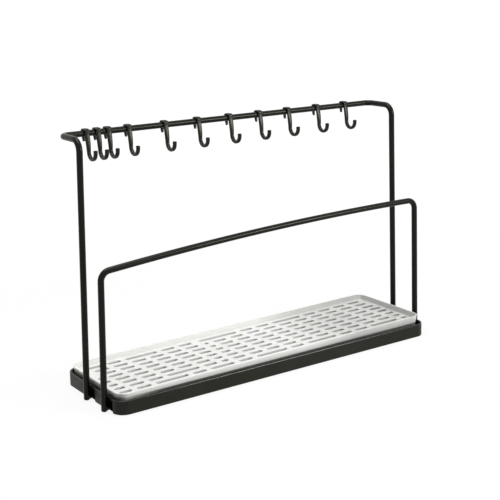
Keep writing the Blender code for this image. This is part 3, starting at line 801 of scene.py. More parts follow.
@dataclass(frozen=True)
class InsertPlastic:
    """Milky white plastic: satin faces, softly greyed slots and faint water marks. Painted shade
    greys it towards the right end, and also darkens its right and back walls and its outer left
    end. Painted shadow darkens its outer wall just above the tray's rim.
    """

    name: str = "insert_plastic"
    plan: InsertPlan = InsertPlan()
    colour: Colour = (0.88, 0.88, 0.85)
    # painted shade: the grey that the right and back walls and the outer left end are mixed toward
    shaded: Colour = (0.46, 0.46, 0.44)
    # painted shade: the grey that the insert turns to towards its right end
    painted_right_shade: Colour = (0.585, 0.59, 0.565)
    water_mark: Colour = (0.81, 0.81, 0.79)
    # painted shadow: near-black on the insert's outer wall just above the tray's rim
    gap_painted_shadow: Colour = (0.075, 0.075, 0.070)
    # painted shade towards the right end: the band along X where it sets in, and its share
    right_shade_band: Band = (0.025, 0.115)
    right_shade_share: float = 0.55
    clouds: Grain = Grain(26.0, 4.0, 0.6)
    cloud_share: float = 0.5
    marks: Grain = Grain(70.0, 5.0, 0.65, (0.56, 0.74))
    mark_share: float = 0.45
    mark_dullness: float = 0.08
    drop_scale: float = 48.0
    drop_radius: float = 0.36
    drop_band: Band = (0.0, 0.035)
    drop_places: Grain = Grain(30.0, band=(0.5, 0.7))
    drop_share: float = 0.30
    # painted shade on the right wall below the rim and on the back wall: where it sets in, and its
    # shares on the back wall
    wall_band: Band = (0.0, 0.0008)
    right_wall: float = 0.1890
    rim_band: Band = (-0.0007, 0.0)
    back_wall: float = 0.0480
    back_shade: float = 0.30
    back_shade_gain: float = 0.38
    skirt_band: Band = (-0.0020, -0.0014)
    # painted shadow just above the tray's top: its band, its share, and how it grows away from the
    # left end
    gap_band: Band = (0.0003, 0.0017)
    gap_share: float = 0.9
    gap_left_share: float = 0.35
    gap_gain: float = 0.65
    gap_gain_band: Band = (-0.0050, 0.0450)
    # painted shade on the outer wall at the left end, below the rim: its bands and its share
    end_band: Band = (-0.0100, -0.0010)
    end_rim_band: Band = (-0.0012, -0.0004)
    end_share: float = 0.8
    roughness: float = 0.34
    patches: Grain = Grain(120.0, 3.0)
    patch_spread: float = 0.12
    satin: Relief = Relief(Grain(2400.0), 0.00001, 0.35)
    waves: Relief = Relief(Grain(45.0), 0.00015, 0.25)
    glow_weight: float = 0.60
    glow_radius: Colour = (1.0, 1.0, 0.9)
    glow_scale: float = 0.0025

    def skirt(self, along: Signal, across: Signal) -> Signal:
        """Mask of the insert's outer wall.

        It rises where sqrt(x^2 + y^2) comes near the corner radius. Here x and y say how far a
        point lies past the corners' centres along each axis, and are zero short of them.

        Args:
            along: the X coordinate.
            across: the Y coordinate.

        Returns:
            1 on the outer wall and 0 inside it.
        """
        plan = self.plan
        middle_x, middle_y = plan.middle
        past_x = abs(along - middle_x) - (plan.length / 2 - plan.corner_radius)
        past_y = abs(across - middle_y) - (plan.depth / 2 - plan.corner_radius)
        past_x, past_y = past_x.at_least(0.0), past_y.at_least(0.0)
        reach = (past_x * past_x + past_y * past_y) ** 0.5
        return reach.passes(plan.corner_radius, self.skirt_band)

    def material(self) -> bpy.types.Material:
        """Build the material.

        Returns:
            The material.
        """
        graph = Graph(bpy.data.materials.new(self.name))
        along, across, height = graph.axes()
        plan = self.plan
        rim_height = plan.rim_top - plan.floor_top
        left_end = plan.corner_radius - plan.length / 2
        above = 0.0 - (plan.floor_top + (along - plan.middle[0]) * plan.slope - height)
        # Painted shade: greyer towards the right end. The back wall's painted shade grows that way
        # too.
        shade_to_right = along.smooth_step(*self.right_shade_band)
        # Painted shade: the right wall below the rim and the back wall are greyed, the back wall
        # more so towards the right.
        wall = (along.passes(self.right_wall, self.wall_band)
                * (1.0 - above.passes(rim_height, self.rim_band)))
        back = across.passes(self.back_wall, self.wall_band)
        wall = wall.at_least(back * (self.back_shade + shade_to_right * self.back_shade_gain))
        marks = graph.noise(self.marks)
        drops = ((1.0 - abs(graph.cells(self.drop_scale)
                            - self.drop_radius).smooth_step(*self.drop_band))
                 * graph.noise(self.drop_places))
        tint = graph.mixed(self.colour, self.water_mark,
                           marks * self.mark_share + drops * self.drop_share)
        # Painted shade towards the right end, made uneven by cloudy noise.
        tint = graph.mixed(tint, self.painted_right_shade,
                           shade_to_right * (self.right_shade_share
                                  + graph.noise(self.clouds) * self.cloud_share))
        tint = graph.mixed(tint, self.shaded, wall)
        skirt = self.skirt(along, across)
        # Painted shadow: the outer wall darkens just above the tray's rim, more so away from the
        # left end.
        gap = skirt * (1.0 - height.passes(TRAY_TOP, self.gap_band))
        gap = gap * (self.gap_left_share
                     + along.passes(left_end, self.gap_gain_band) * self.gap_gain)
        # Painted shade on the outer wall at the left end, below the rim.
        end = skirt * (1.0 - along.passes(left_end, self.end_band))
        end = end * (1.0 - above.passes(rim_height, self.end_rim_band))
        tint = graph.mixed(tint, self.shaded, end * self.end_share)
        tint = graph.mixed(tint, self.gap_painted_shadow, gap * self.gap_share)
        rough = (self.roughness + graph.noise(self.patches).swing(self.patch_spread)
                 + marks * self.mark_dullness)
        normal = graph.bump(self.waves, graph.bump(self.satin))
        return graph.surface({"Base Color": tint, "Roughness": rough, "Normal": normal,
                              "IOR": PLASTIC_IOR, "Subsurface Weight": self.glow_weight,
                              "Subsurface Radius": self.glow_radius,
                              "Subsurface Scale": self.glow_scale})


@dataclass(frozen=True)
class PowderCoat:
    """Black satin powder coat: orange peel on steel wire, a little duller where handled."""

    name: str = "frame_coating"
    colour: Colour = (0.0052, 0.0052, 0.0042)
    handled: Colour = (0.0100, 0.0098, 0.0084)
    wear: Grain = Grain(28.0, 4.0, 0.6, (0.48, 0.72))
    wear_share: float = 0.7
    wear_dullness: float = 0.05
    speck_scale: float = 1500.0
    speck_band: Band = (0.05, 0.22)
    speck_level: float = 0.4
    speck_share: float = 0.3
    roughness: float = 0.23
    patches: Grain = Grain(150.0, 3.0)
    patch_spread: float = 0.12
    fine_peel: Relief = Relief(Grain(2700.0), 0.000012, 0.04)
    peel: Relief = Relief(Grain(900.0), 0.00003, 0.05)
    ior: float = 1.50
    specular_level: float = 0.14

    def material(self) -> bpy.types.Material:
        """Build the material.

        Returns:
            The material.
        """
        graph = Graph(bpy.data.materials.new(self.name))
        worn = graph.noise(self.wear)
        specks = ((1.0 - graph.cells(self.speck_scale).smooth_step(*self.speck_band))
                  * self.speck_level)
        tint = graph.mixed(self.colour, self.handled,
                           worn * self.wear_share + specks * self.speck_share)
        rough = (self.roughness + graph.noise(self.patches).swing(self.patch_spread)
                 + worn * self.wear_dullness)
        normal = graph.bump(self.peel, graph.bump(self.fine_peel))
        return graph.surface({"Base Color": tint, "Roughness": rough, "Normal": normal,
                              "IOR": self.ior, "Specular IOR Level": self.specular_level,
                              "Specular Tint": SHEEN})


@dataclass(frozen=True)
class HookPlastic:
    """Black moulded plastic of the hooks: satin, polished by use inside the hook's bend."""

    name: str = "hook_plastic"
    colour: Colour = (0.0090, 0.0090, 0.0066)
    pale: Colour = (0.0150, 0.0148, 0.0120)
    flow: Grain = Grain(260.0, 3.0, 0.6, (0.42, 0.70), (1.0, 1.0, 0.25))
    flow_share: float = 0.6
    bend_height: float = 0.2385
    bend_band: Band = (-0.0015, 0.0025)
    roughness: float = 0.30
    worn_roughness: float = 0.13
    patches: Grain = Grain(500.0)
    patch_spread: float = 0.12
    satin: Relief = Relief(Grain(2600.0), 0.00002, 0.2)
    specular_level: float = 0.19

    def material(self) -> bpy.types.Material:
        """Build the material.

        Returns:
            The material.
        """
        graph = Graph(bpy.data.materials.new(self.name))
        _, _, height = graph.axes()
        bend = 1.0 - height.passes(self.bend_height, self.bend_band)
        tint = graph.mixed(self.colour, self.pale, graph.noise(self.flow) * self.flow_share)
        rough = (self.roughness - bend * (self.roughness - self.worn_roughness)
                 + graph.noise(self.patches).swing(self.patch_spread))
        return graph.surface({"Base Color": tint, "Roughness": rough,
                              "Normal": graph.bump(self.satin), "IOR": PLASTIC_IOR,
                              "Specular IOR Level": self.specular_level,
                              "Specular Tint": SHEEN})


@dataclass(frozen=True)
class FootRubber:
    """Matt dark grey rubber, dusty at its edges."""

    name: str = "foot_rubber"
    colour: Colour = (0.034, 0.034, 0.034)
    dust: Colour = (0.095, 0.092, 0.086)
    dust_grain: Grain = Grain(900.0, 4.0, 0.65, (0.45, 0.72))
    dust_share: float = 0.35
    low_band: Band = (0.0, 0.0012)
    low_gain: float = 0.5
    roughness: float = 0.86
    patches: Grain = Grain(1200.0)
    patch_spread: float = 0.12
    skin: Relief = Relief(Grain(1800.0, 3.0, 0.6), 0.00005, 0.5)
    ior: float = 1.52
    specular_level: float = 0.3

    def material(self) -> bpy.types.Material:
        """Build the material.

        Returns:
            The material.
        """
        graph = Graph(bpy.data.materials.new(self.name))
        _, _, height = graph.axes()
        low = 1.0 - height.smooth_step(*self.low_band)
        dusty = graph.noise(self.dust_grain) * (self.dust_share + low * self.low_gain)
        tint = graph.mixed(self.colour, self.dust, dusty)
        rough = self.roughness + graph.noise(self.patches).swing(self.patch_spread)
        return graph.surface({"Base Color": tint, "Roughness": rough,
                              "Normal": graph.bump(self.skin), "IOR": self.ior,
                              "Specular IOR Level": self.specular_level})


# ------------------------------------------------------------------------------- sub-assemblies


def place_piece(piece: bpy.types.Object, finish: bpy.types.Material, body: str,
                node: str) -> bpy.types.Object:
    """Give a piece its finish, attach it to the body that it rides on, and let it stand for its
    CAD node.

    Args:
        piece: the finished piece.
        finish: its material.
        body: body that it rides on.
        node: CAD node that it stands for.

    Returns:
        The piece.
    """
    piece.data.materials.clear()
    piece.data.materials.append(finish)
    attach(piece, body)
    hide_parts(node)
    return piece


@dataclass(frozen=True)
class WireStock:
    """Bent round wire that both frames are made of, with its coat of paint."""

    diameter: float = 0.0060
    coat: float = 0.0002
    corner_inset: float = 0.00008
    corner_base: float = 0.0001
    corner_top: float = 0.0110
    corner_chamfer: float = 0.0008
    lift: float = 0.0008
    around: int = 24
    bend_steps: int = 14
    end_chamfer: float = 0.0004
    sharp_degrees: float = 40.0

    @property
    def axis_height(self) -> float:
        """Height of the feet's centre line above the counter."""
        return self.lift + self.diameter / 2

    def piece(self, name: str, corners: Sequence[Sequence[float]],
              radii: Sequence[float]) -> bpy.types.Object:
        """Bend one wire into a piece.

        Args:
            name: name of the piece.
            corners: ends and corners of its centre line.
            radii: bend radius at each of them.

        Returns:
            The piece, smooth all over.
        """
        path = bent_path(corners, radii, self.bend_steps)
        rings = tube_rings(path, self.diameter / 2 + self.coat, self.around, self.end_chamfer)
        piece = new_object(name, shell_mesh(name, rings))
        smooth_by_angle(piece, self.sharp_degrees)
        return piece

    def square_feet(self, piece: bpy.types.Object, leg_x: float, leg_y: float,
                    lean: float) -> None:
        """Fill the outer corner of both foot bends, which are pressed almost square.

        Args:
            piece: the frame's wire, which is changed.
            leg_x: distance of the legs from the rack's middle at the feet.
            leg_y: place of the legs along Y.
            lean: how far a leg leans in per length of its height.
        """
        top_x = leg_x - lean * (self.corner_top - self.axis_height)
        for end in End:
            path = np.array(((end.value * leg_x, leg_y, self.corner_base),
                             (end.value * top_x, leg_y, self.corner_top)))
            rings = tube_rings(path, self.diameter / 2 + self.coat - self.corner_inset,
                               self.around, self.corner_chamfer)
            carve(piece, "foot_corner", rings, Cut.JOIN)
        smooth_by_angle(piece, self.sharp_degrees)


@dataclass
class BaseTray:
    """Black tray: basin, skirt, notches for the legs, saddles for the feet and foot bosses."""

    length: float = TRAY_LENGTH
    depth: float = TRAY_DEPTH
    top: float = TRAY_TOP
    corner_radius: float = 0.0130
    wall: float = TRAY_WALL
    edge_radius: float = 0.0009
    foot_edge: float = 0.0004
    skirt_clearance: float = 0.0004
    floor_thickness: float = 0.0018
    floor_fillet: float = 0.0012
    saddle_web: float = 0.0010
    saddle_length: float = 0.0080
    saddle_cheek: float = 0.0016
    snap_drop: float = 0.0018
    seat_gap: float = SEAT_GAP
    overrun: float = 0.0020
    notch_width: float = NOTCH_WIDTH
    notch_bevel: float = 0.0025
    notch_recess: float = 0.0016
    notch_top_drop: float = NOTCH_TOP_DROP
    passage_depth: float = 0.0021
    pad_radius: float = 0.0045
    pad_thickness: float = 0.0020
    stud_radius: float = 0.0020
    stud_length: float = 0.0030
    pad_wire_room: float = 0.0100
    pad_side_inset: float = 0.0090
    leg_places: tuple[float, float] = (REAR_LEG_Y, GUARD_LEG_Y)
    foot_run: float = FOOT_RUN
    leg_clearance: float = 0.0006
    corner_steps: int = 18
    edge_steps: int = 5
    round_steps: int = 40
    sharp_degrees: float = 30.0
    wire: WireStock = field(default_factory=WireStock)
    finish: TrayPlastic = field(default_factory=TrayPlastic)

    @property
    def underside(self) -> float:
        """Height of the basin floor's underside."""
        return self.wire.axis_height + self.wire.diameter / 2 + self.saddle_web

    @property
    def floor(self) -> float:
        """Height of the basin floor."""
        return self.underside + self.floor_thickness

    @property
    def foot_end(self) -> float:
        """Distance of the wire feet's ends from the middle."""
        return (self.length / 2 + self.leg_clearance + self.wire.diameter / 2) - self.foot_run

    def shell(self) -> np.ndarray:
        """Rings of the tray from its basin floor over the rim to its underside.

        The profile is a list of insets and heights. The rim has two quarter rounds:
        (inset, height) = (edge - r + r cos a, top - r + r sin a) on its inner side and the
        mirror of that on its outer side. The skirt's lower edge is eased by a small chamfer.

        Returns:
            Array of rings by points by 3.
        """
        cosine, sine = quarter_turn(self.edge_steps)
        radius, fillet = self.edge_radius, self.floor_fillet
        low, eased = self.skirt_clearance, self.skirt_clearance + self.foot_edge
        insets = np.concatenate((
            self.wall + fillet * (1 - sine), self.wall - radius + radius * cosine,
            radius - radius * sine,
            (0.0, self.foot_edge, self.wall - self.foot_edge, self.wall, self.wall)))
        heights = np.concatenate((
            self.floor + fillet * (1 - cosine), self.top - radius + radius * sine,
            self.top - radius + radius * cosine, (eased, low, low, eased, self.underside)))
        outlines = inset_outlines(self.length, self.depth, self.corner_radius, insets, radius,
                                  self.corner_steps)
        return lofted_rings(outlines, heights, np.zeros(len(insets)))

    def end_boxes(self, near: float, far: float, half_width: float, low: float, high: float,
                  flare: float = 0.0) -> np.ndarray:
        """Boxes at both ends of the tray, one for each leg.

        Args:
            near: distance of their inner faces from the middle.
            far: distance of their outer faces from the middle.
            half_width: half their size along Y.
            low: height of their undersides.
            high: height of their tops.
            flare: how much wider each side is at the outer face.

        Returns:
            Stacks of two rings with four points each.
        """
        wide = half_width + flare
        return np.stack([
            upright_prism(np.array(((end.value * near, leg_y - half_width),
                                    (end.value * far, leg_y - wide),
                                    (end.value * far, leg_y + wide),
                                    (end.value * near, leg_y + half_width))), low, high)
            for end in End for leg_y in self.leg_places])

    def round_posts(self, radius: float, low: float, high: float) -> np.ndarray:
        """Upright cylinders at the four rubber feet: place + radius * (cos a, sin a).

        Args:
            radius: their radius.
            low: height of their undersides.
            high: height of their tops.

        Returns:
            Stacks of two rings.
        """
        angle = whole_turn(self.round_steps)
        circle = radius * np.stack((np.cos(angle), np.sin(angle)), axis=-1)
        reach_x = self.foot_end - self.pad_wire_room
        reach_y = self.depth / 2 - self.pad_side_inset
        signs = np.array(((-1, -1), (1, -1), (1, 1), (-1, 1)))
        return np.stack([upright_prism(circle + sign * (reach_x, reach_y), low, high)
                         for sign in signs])

    def foot_channels(self) -> np.ndarray:
        """Lying cylinders round the wire feet, one seat gap wider than the wire.

        Each ring is the feet's centre line + radius * (0, cos a, sin a).

        Returns:
            Stacks of two rings.
        """
        angle = whole_turn(self.round_steps)
        radius = self.wire.diameter / 2 + self.seat_gap
        reaches = (self.foot_end - self.overrun, self.length / 2 + self.overrun)
        stacks = []
        for end in End:
            for leg_y in self.leg_places:
                ring = np.stack((np.zeros_like(angle), leg_y + radius * np.cos(angle),
                                 self.wire.axis_height + radius * np.sin(angle)), axis=-1)
                stacks.append(np.stack([ring + (end.value * reach, 0.0, 0.0)
                                        for reach in reaches]))
        return np.stack(stacks)

    def build(self) -> bpy.types.Object:
        """Make the tray: joined blocks first, then channels, sockets and notches.

        Returns:
            The piece.
        """
        piece = new_object("base_tray_shell", shell_mesh("base_tray_shell", self.shell()))
        within = self.underside + self.floor_thickness / 2
        saddle = self.foot_end + self.saddle_cheek
        block = (self.length - self.wall) / 2
        face = self.length / 2
        half_notch = self.notch_width / 2
        under = self.skirt_clearance - self.overrun
        past_bevel = self.notch_bevel * (1 + self.overrun / self.notch_recess)
        for name, rings, cut in (
                ("saddles", self.end_boxes(
                    saddle, saddle + self.saddle_length,
                    self.wire.diameter / 2 + self.seat_gap + self.saddle_cheek,
                    self.wire.axis_height - self.snap_drop, within), Cut.JOIN),
                ("blocks", self.end_boxes(
                    block - self.saddle_length, block, half_notch + self.saddle_cheek,
                    self.skirt_clearance + self.foot_edge / 2, within), Cut.JOIN),
                ("bosses", self.round_posts(
                    self.pad_radius, self.pad_thickness + self.seat_gap, within), Cut.JOIN),
                ("channels", self.foot_channels(), Cut.REMOVE),
                ("sockets", self.round_posts(
                    self.stud_radius + self.seat_gap, self.pad_thickness - self.overrun,
                    self.pad_thickness + self.stud_length + self.seat_gap), Cut.REMOVE),
                ("recesses", self.end_boxes(
                    face - self.notch_recess, face + self.overrun, half_notch, under,
                    self.top - self.notch_top_drop, past_bevel), Cut.REMOVE),
                ("passages", self.end_boxes(
                    face - self.passage_depth, face + self.overrun, half_notch, under,
                    self.underside), Cut.REMOVE)):
            carve(piece, name, rings, cut)
        smooth_by_angle(piece, self.sharp_degrees, weighted=True)
        return piece

    def make(self) -> list[bpy.types.Object]:
        """Build and dress the tray."""
        return [place_piece(self.build(), self.finish.material(),
                            Body.STAND.value, "base_tray")]


@dataclass
class DrainerInsert:
    """White insert: a shallow dish on a skirt whose floor is full of slots."""

    plan: InsertPlan = field(default_factory=InsertPlan)
    seat: float = 0.0099
    floor_thickness: float = 0.0027
    wall: float = 0.0016
    edge_radius: float = 0.0006
    skirt_draft: float = 0.0022
    wall_flare: float = 0.0042
    floor_fillet: float = 0.0011
    slot_rows: int = 8
    field_share: float = 0.731
    field_shift: float = 0.0014
    slot_length: float = 0.0165
    slot_width: float = 0.0058
    left_pitch: float = 0.0217
    right_pitch: float = 0.0224
    row_step: float = 0.0019
    left_start: float = -0.1594
    right_start: float = -0.0366
    seam: float = -0.0494
    end_margin: float = 0.0045
    shortest: float = 0.0055
    lip_radius: float = 0.00045
    lip_degrees: tuple[float, ...] = (0.0, 18.0, 36.0, 54.0, 70.0)
    lip_overrun: float = 0.15
    tool_above: float = 2.0
    tool_below: float = 4.0
    slot_steps: int = 10
    corner_steps: int = 18
    edge_steps: int = 5
    sharp_degrees: float = 32.0
    joins: dict[int, tuple[int, ...]] = field(default_factory=lambda: {
        0: (2, 6, 10), 6: (3,), 7: (2, 5, 8, 11, 15)})
    finish: InsertPlastic = field(default_factory=InsertPlastic)

    def shell(self) -> np.ndarray:
        """Rings of the insert from its floor over the rim to its underside.

        The floor turns up into the flared wall with a fillet, the rim has two quarter rounds,
        and the skirt leans in by its draft down to the seat. Floor, wall, rim and underside
        rise by the same slope to the right, and the skirt's foot stays level.

        Returns:
            Array of rings by points by 3.
        """
        cosine, sine = quarter_turn(self.edge_steps)
        plan, radius, fillet = self.plan, self.edge_radius, self.floor_fillet
        lean = (self.wall_flare - self.wall) / (plan.rim_top - plan.floor_top)
        turned = np.linspace(0.0, math.atan2(1.0, lean), self.edge_steps + 1)
        foot = self.wall_flare + fillet * math.tan(turned[-1] / 2)
        underside = plan.floor_top - self.floor_thickness
        at_floor = (self.skirt_draft * (plan.rim_top - underside) / (plan.rim_top - self.seat)
                    + self.wall)
        insets = np.concatenate((
            foot - fillet * np.sin(turned), self.wall - radius + radius * cosine,
            radius - radius * sine,
            (self.skirt_draft, self.skirt_draft + self.wall, at_floor)))
        heights = np.concatenate((
            plan.floor_top + fillet * (1 - np.cos(turned)), plan.rim_top - radius + radius * sine,
            plan.rim_top - radius + radius * cosine, (self.seat, self.seat, underside)))
        slopes = np.full(len(insets), plan.slope)
        slopes[-3:-1] = 0.0
        outlines = inset_outlines(plan.length, plan.depth, plan.corner_radius, insets, radius,
                                  self.corner_steps)
        rings = lofted_rings(outlines, heights, slopes)
        rings[..., :2] += plan.middle
        return rings

    def row_spans(self, row: int) -> list[tuple[float, float]]:
        """Start and end of each slot of a row along X, from left to right.

        Two regular fields of slots step sideways row by row and meet at a seam. A few
        neighbours are joined into one long slot.

        Args:
            row: row number, counted from the back.

        Returns:
            The slots of that row.
        """
        reach = self.plan.length / 2 - self.wall_flare - self.end_margin
        bridge = self.right_pitch - self.slot_length
        left_end, right_start = self.seam - bridge / 2, self.seam + bridge / 2
        first = self.left_start + row * self.row_step - 2 * self.left_pitch
        spans: list[tuple[float, float]] = []
        while first < left_end - bridge / 2:
            if left_end - first < self.shortest:
                spans[-1] = (spans[-1][0], left_end)
            else:
                spans.append((first, min(first + self.slot_length, left_end)))
            first += self.left_pitch
        right = self.right_start + row * self.row_step
        if right - bridge - right_start < self.shortest:
            spans.append((right_start, right + self.slot_length))
        else:
            spans += [(right_start, right - bridge), (right, right + self.slot_length)]
        while right + self.right_pitch < reach:
            right += self.right_pitch
            spans.append((right, right + self.slot_length))
        clipped = [(max(start, -reach), min(end, reach)) for start, end in spans]
        kept = [span for span in clipped if span[1] - span[0] >= self.shortest]
        for index in sorted(self.joins.get(row, ()), reverse=True):
            if index + 1 < len(kept):
                kept[index:index + 2] = [(kept[index][0], kept[index + 1][1])]
        return kept

    def slot_tools(self) -> np.ndarray:
        """Tool bodies of all slots, each with a rounded lip that follows the sloping floor.

        Up the wall the outline keeps the slot's size, then it grows by r (1 - cos a) at a
        depth of r (1 - sin a) below the floor, and ends just above the floor.

        Returns:
            Stacks of rings, one stack for each slot.
        """
        plan, radius = self.plan, self.lip_radius
        pitch = self.field_share * plan.depth / (self.slot_rows - 1)
        rows = [self.row_spans(row) for row in range(self.slot_rows)]
        spans = np.array([span for row in rows for span in row])
        middles = np.concatenate([
            np.full(len(row), self.field_shift + ((self.slot_rows - 1) / 2 - number) * pitch)
            for number, row in enumerate(rows)])
        turn = np.radians(np.array(self.lip_degrees))
        last = radius * (1 - math.cos(turn[-1])) + radius * self.lip_overrun
        grows = np.concatenate(((0.0,), radius * (1 - np.cos(turn)), (last,)))
        depths = np.concatenate(((-self.floor_thickness - radius * self.tool_below,),
                                 -radius * (1 - np.sin(turn)), (radius * self.tool_above,)))
        plans = [stadiums(spans, middles, self.slot_width, grow, self.slot_steps)
                 for grow in grows]
        rings = np.stack([
            np.concatenate((outline, plan.floor_top + depth + plan.slope * outline[..., :1]),
                           axis=-1)
            for outline, depth in zip(plans, depths)], axis=1)
        rings[..., :2] += plan.middle
        return rings

    def build(self) -> bpy.types.Object:
        """Make the insert and cut its slots.

        Returns:
            The piece.
        """
        piece = new_object("drainer_insert_dish", shell_mesh("drainer_insert_dish", self.shell()))
        carve(piece, "slots", self.slot_tools(), Cut.REMOVE)
        smooth_by_angle(piece, self.sharp_degrees, weighted=True)
        return piece

    def make(self) -> list[bpy.types.Object]:
        """Build and dress the insert."""
        return [place_piece(self.build(), self.finish.material(),
                            Body.INSERT.value, "drainer_insert")]


@dataclass
class WireFrame:
    """What both wire frames share: legs that lean in, feet turned in, wire and paint."""

    leg_x: float = 0.2029
    lean: float = 0.020
    foot_bend: float = 0.0034
    foot_run: float = FOOT_RUN
    wire: WireStock = field(default_factory=WireStock)
    finish: PowderCoat = field(default_factory=PowderCoat)

    def leg_at(self, height: float) -> float:
        """Distance of a leg from the middle: leg_x - lean * height above the feet's line."""
        return self.leg_x - self.lean * (height - self.wire.axis_height)

    def dressed(self, name: str, corners: Sequence[Sequence[float]], radii: Sequence[float],
                leg_y: float, node: str) -> list[bpy.types.Object]:
        """Bend the wire, square its feet and paint it.

        Args:
            name: name of the piece.
            corners: ends and corners of the wire's centre line.
            radii: bend radius at each of them.
            leg_y: place of the legs along Y.
            node: CAD node that it stands for.

        Returns:
            The piece, alone in a list.
        """
        piece = self.wire.piece(name, corners, radii)
        self.wire.square_feet(piece, self.leg_x, leg_y, self.lean)
        return [place_piece(piece, self.finish.material(), Body.STAND.value,
                            node)]


@dataclass
class RearFrame(WireFrame):
    """Tall wire frame: two legs, two arms to the back and the hook rail between them."""

    leg_y: float = REAR_LEG_Y
    rail_height: float = RAIL_HEIGHT
    arm: float = 0.0397
    rail_bend: float = 0.0078
    leg_top_bend: float = 0.0110

    def make(self) -> list[bpy.types.Object]:
        """Bend and dress the frame: its right half, and the mirror of that at the left.

        Returns:
            The piece, alone in a list.
        """
        low = self.wire.axis_height
        rail_x = self.leg_at(self.rail_height)
        half = [(self.leg_x - self.foot_run, self.leg_y, low), (self.leg_x, self.leg_y, low),
                (rail_x, self.leg_y, self.rail_height),
                (rail_x, self.leg_y + self.arm, self.rail_height)]
        radii = [0.0, self.foot_bend, self.leg_top_bend, self.rail_bend]
        corners = [(-x, y, z) for x, y, z in half] + half[::-1]
        return self.dressed("rear_frame_wire", corners, radii + radii[::-1], self.leg_y,
                            "rear_frame")


@dataclass
class FrontGuard(WireFrame):
    """Low wire guard: two legs of unlike height and a rail that bows up between them."""

    leg_y: float = GUARD_LEG_Y
    height_left: float = 0.1385
    height_right: float = 0.1551
    bow: float = 0.0051
    bow_steps: int = 40
    rail_bend: float = 0.0100

    def make(self) -> list[bpy.types.Object]:
        """Bend and dress the guard.

        The rail's height at the share s of its length is the straight line between its two
        ends plus the bow times 4 s (1 - s), and its ends lie on the legs, which lean in. Its
        points that lie within a bend are left out.

        Returns:
            The piece, alone in a list.
        """
        low = self.wire.axis_height
        left, right = self.leg_at(self.height_left), self.leg_at(self.height_right)
        share = np.linspace(0.0, 1.0, self.bow_steps + 1)
        heights = (self.height_left + (self.height_right - self.height_left) * share
                   + self.bow * 4 * share * (1 - share))
        rail = np.stack(((left + right) * share - left, np.full_like(share, self.leg_y),
                         heights), axis=-1).tolist()
        near = max(2, round(self.rail_bend / (2 * self.leg_x / self.bow_steps)) + 1)
        rail = rail[:1] + rail[near:-near] + rail[-1:]
        foot = self.leg_x - self.foot_run
        corners = [(-foot, self.leg_y, low), (-self.leg_x, self.leg_y, low), *rail,
                   (self.leg_x, self.leg_y, low), (foot, self.leg_y, low)]
        radii = [0.0, self.foot_bend, self.rail_bend, *[0.0] * (len(rail) - 2),
                 self.rail_bend, self.foot_bend, 0.0]
        return self.dressed("guard_frame_wire", corners, radii, self.leg_y, "guard_frame")


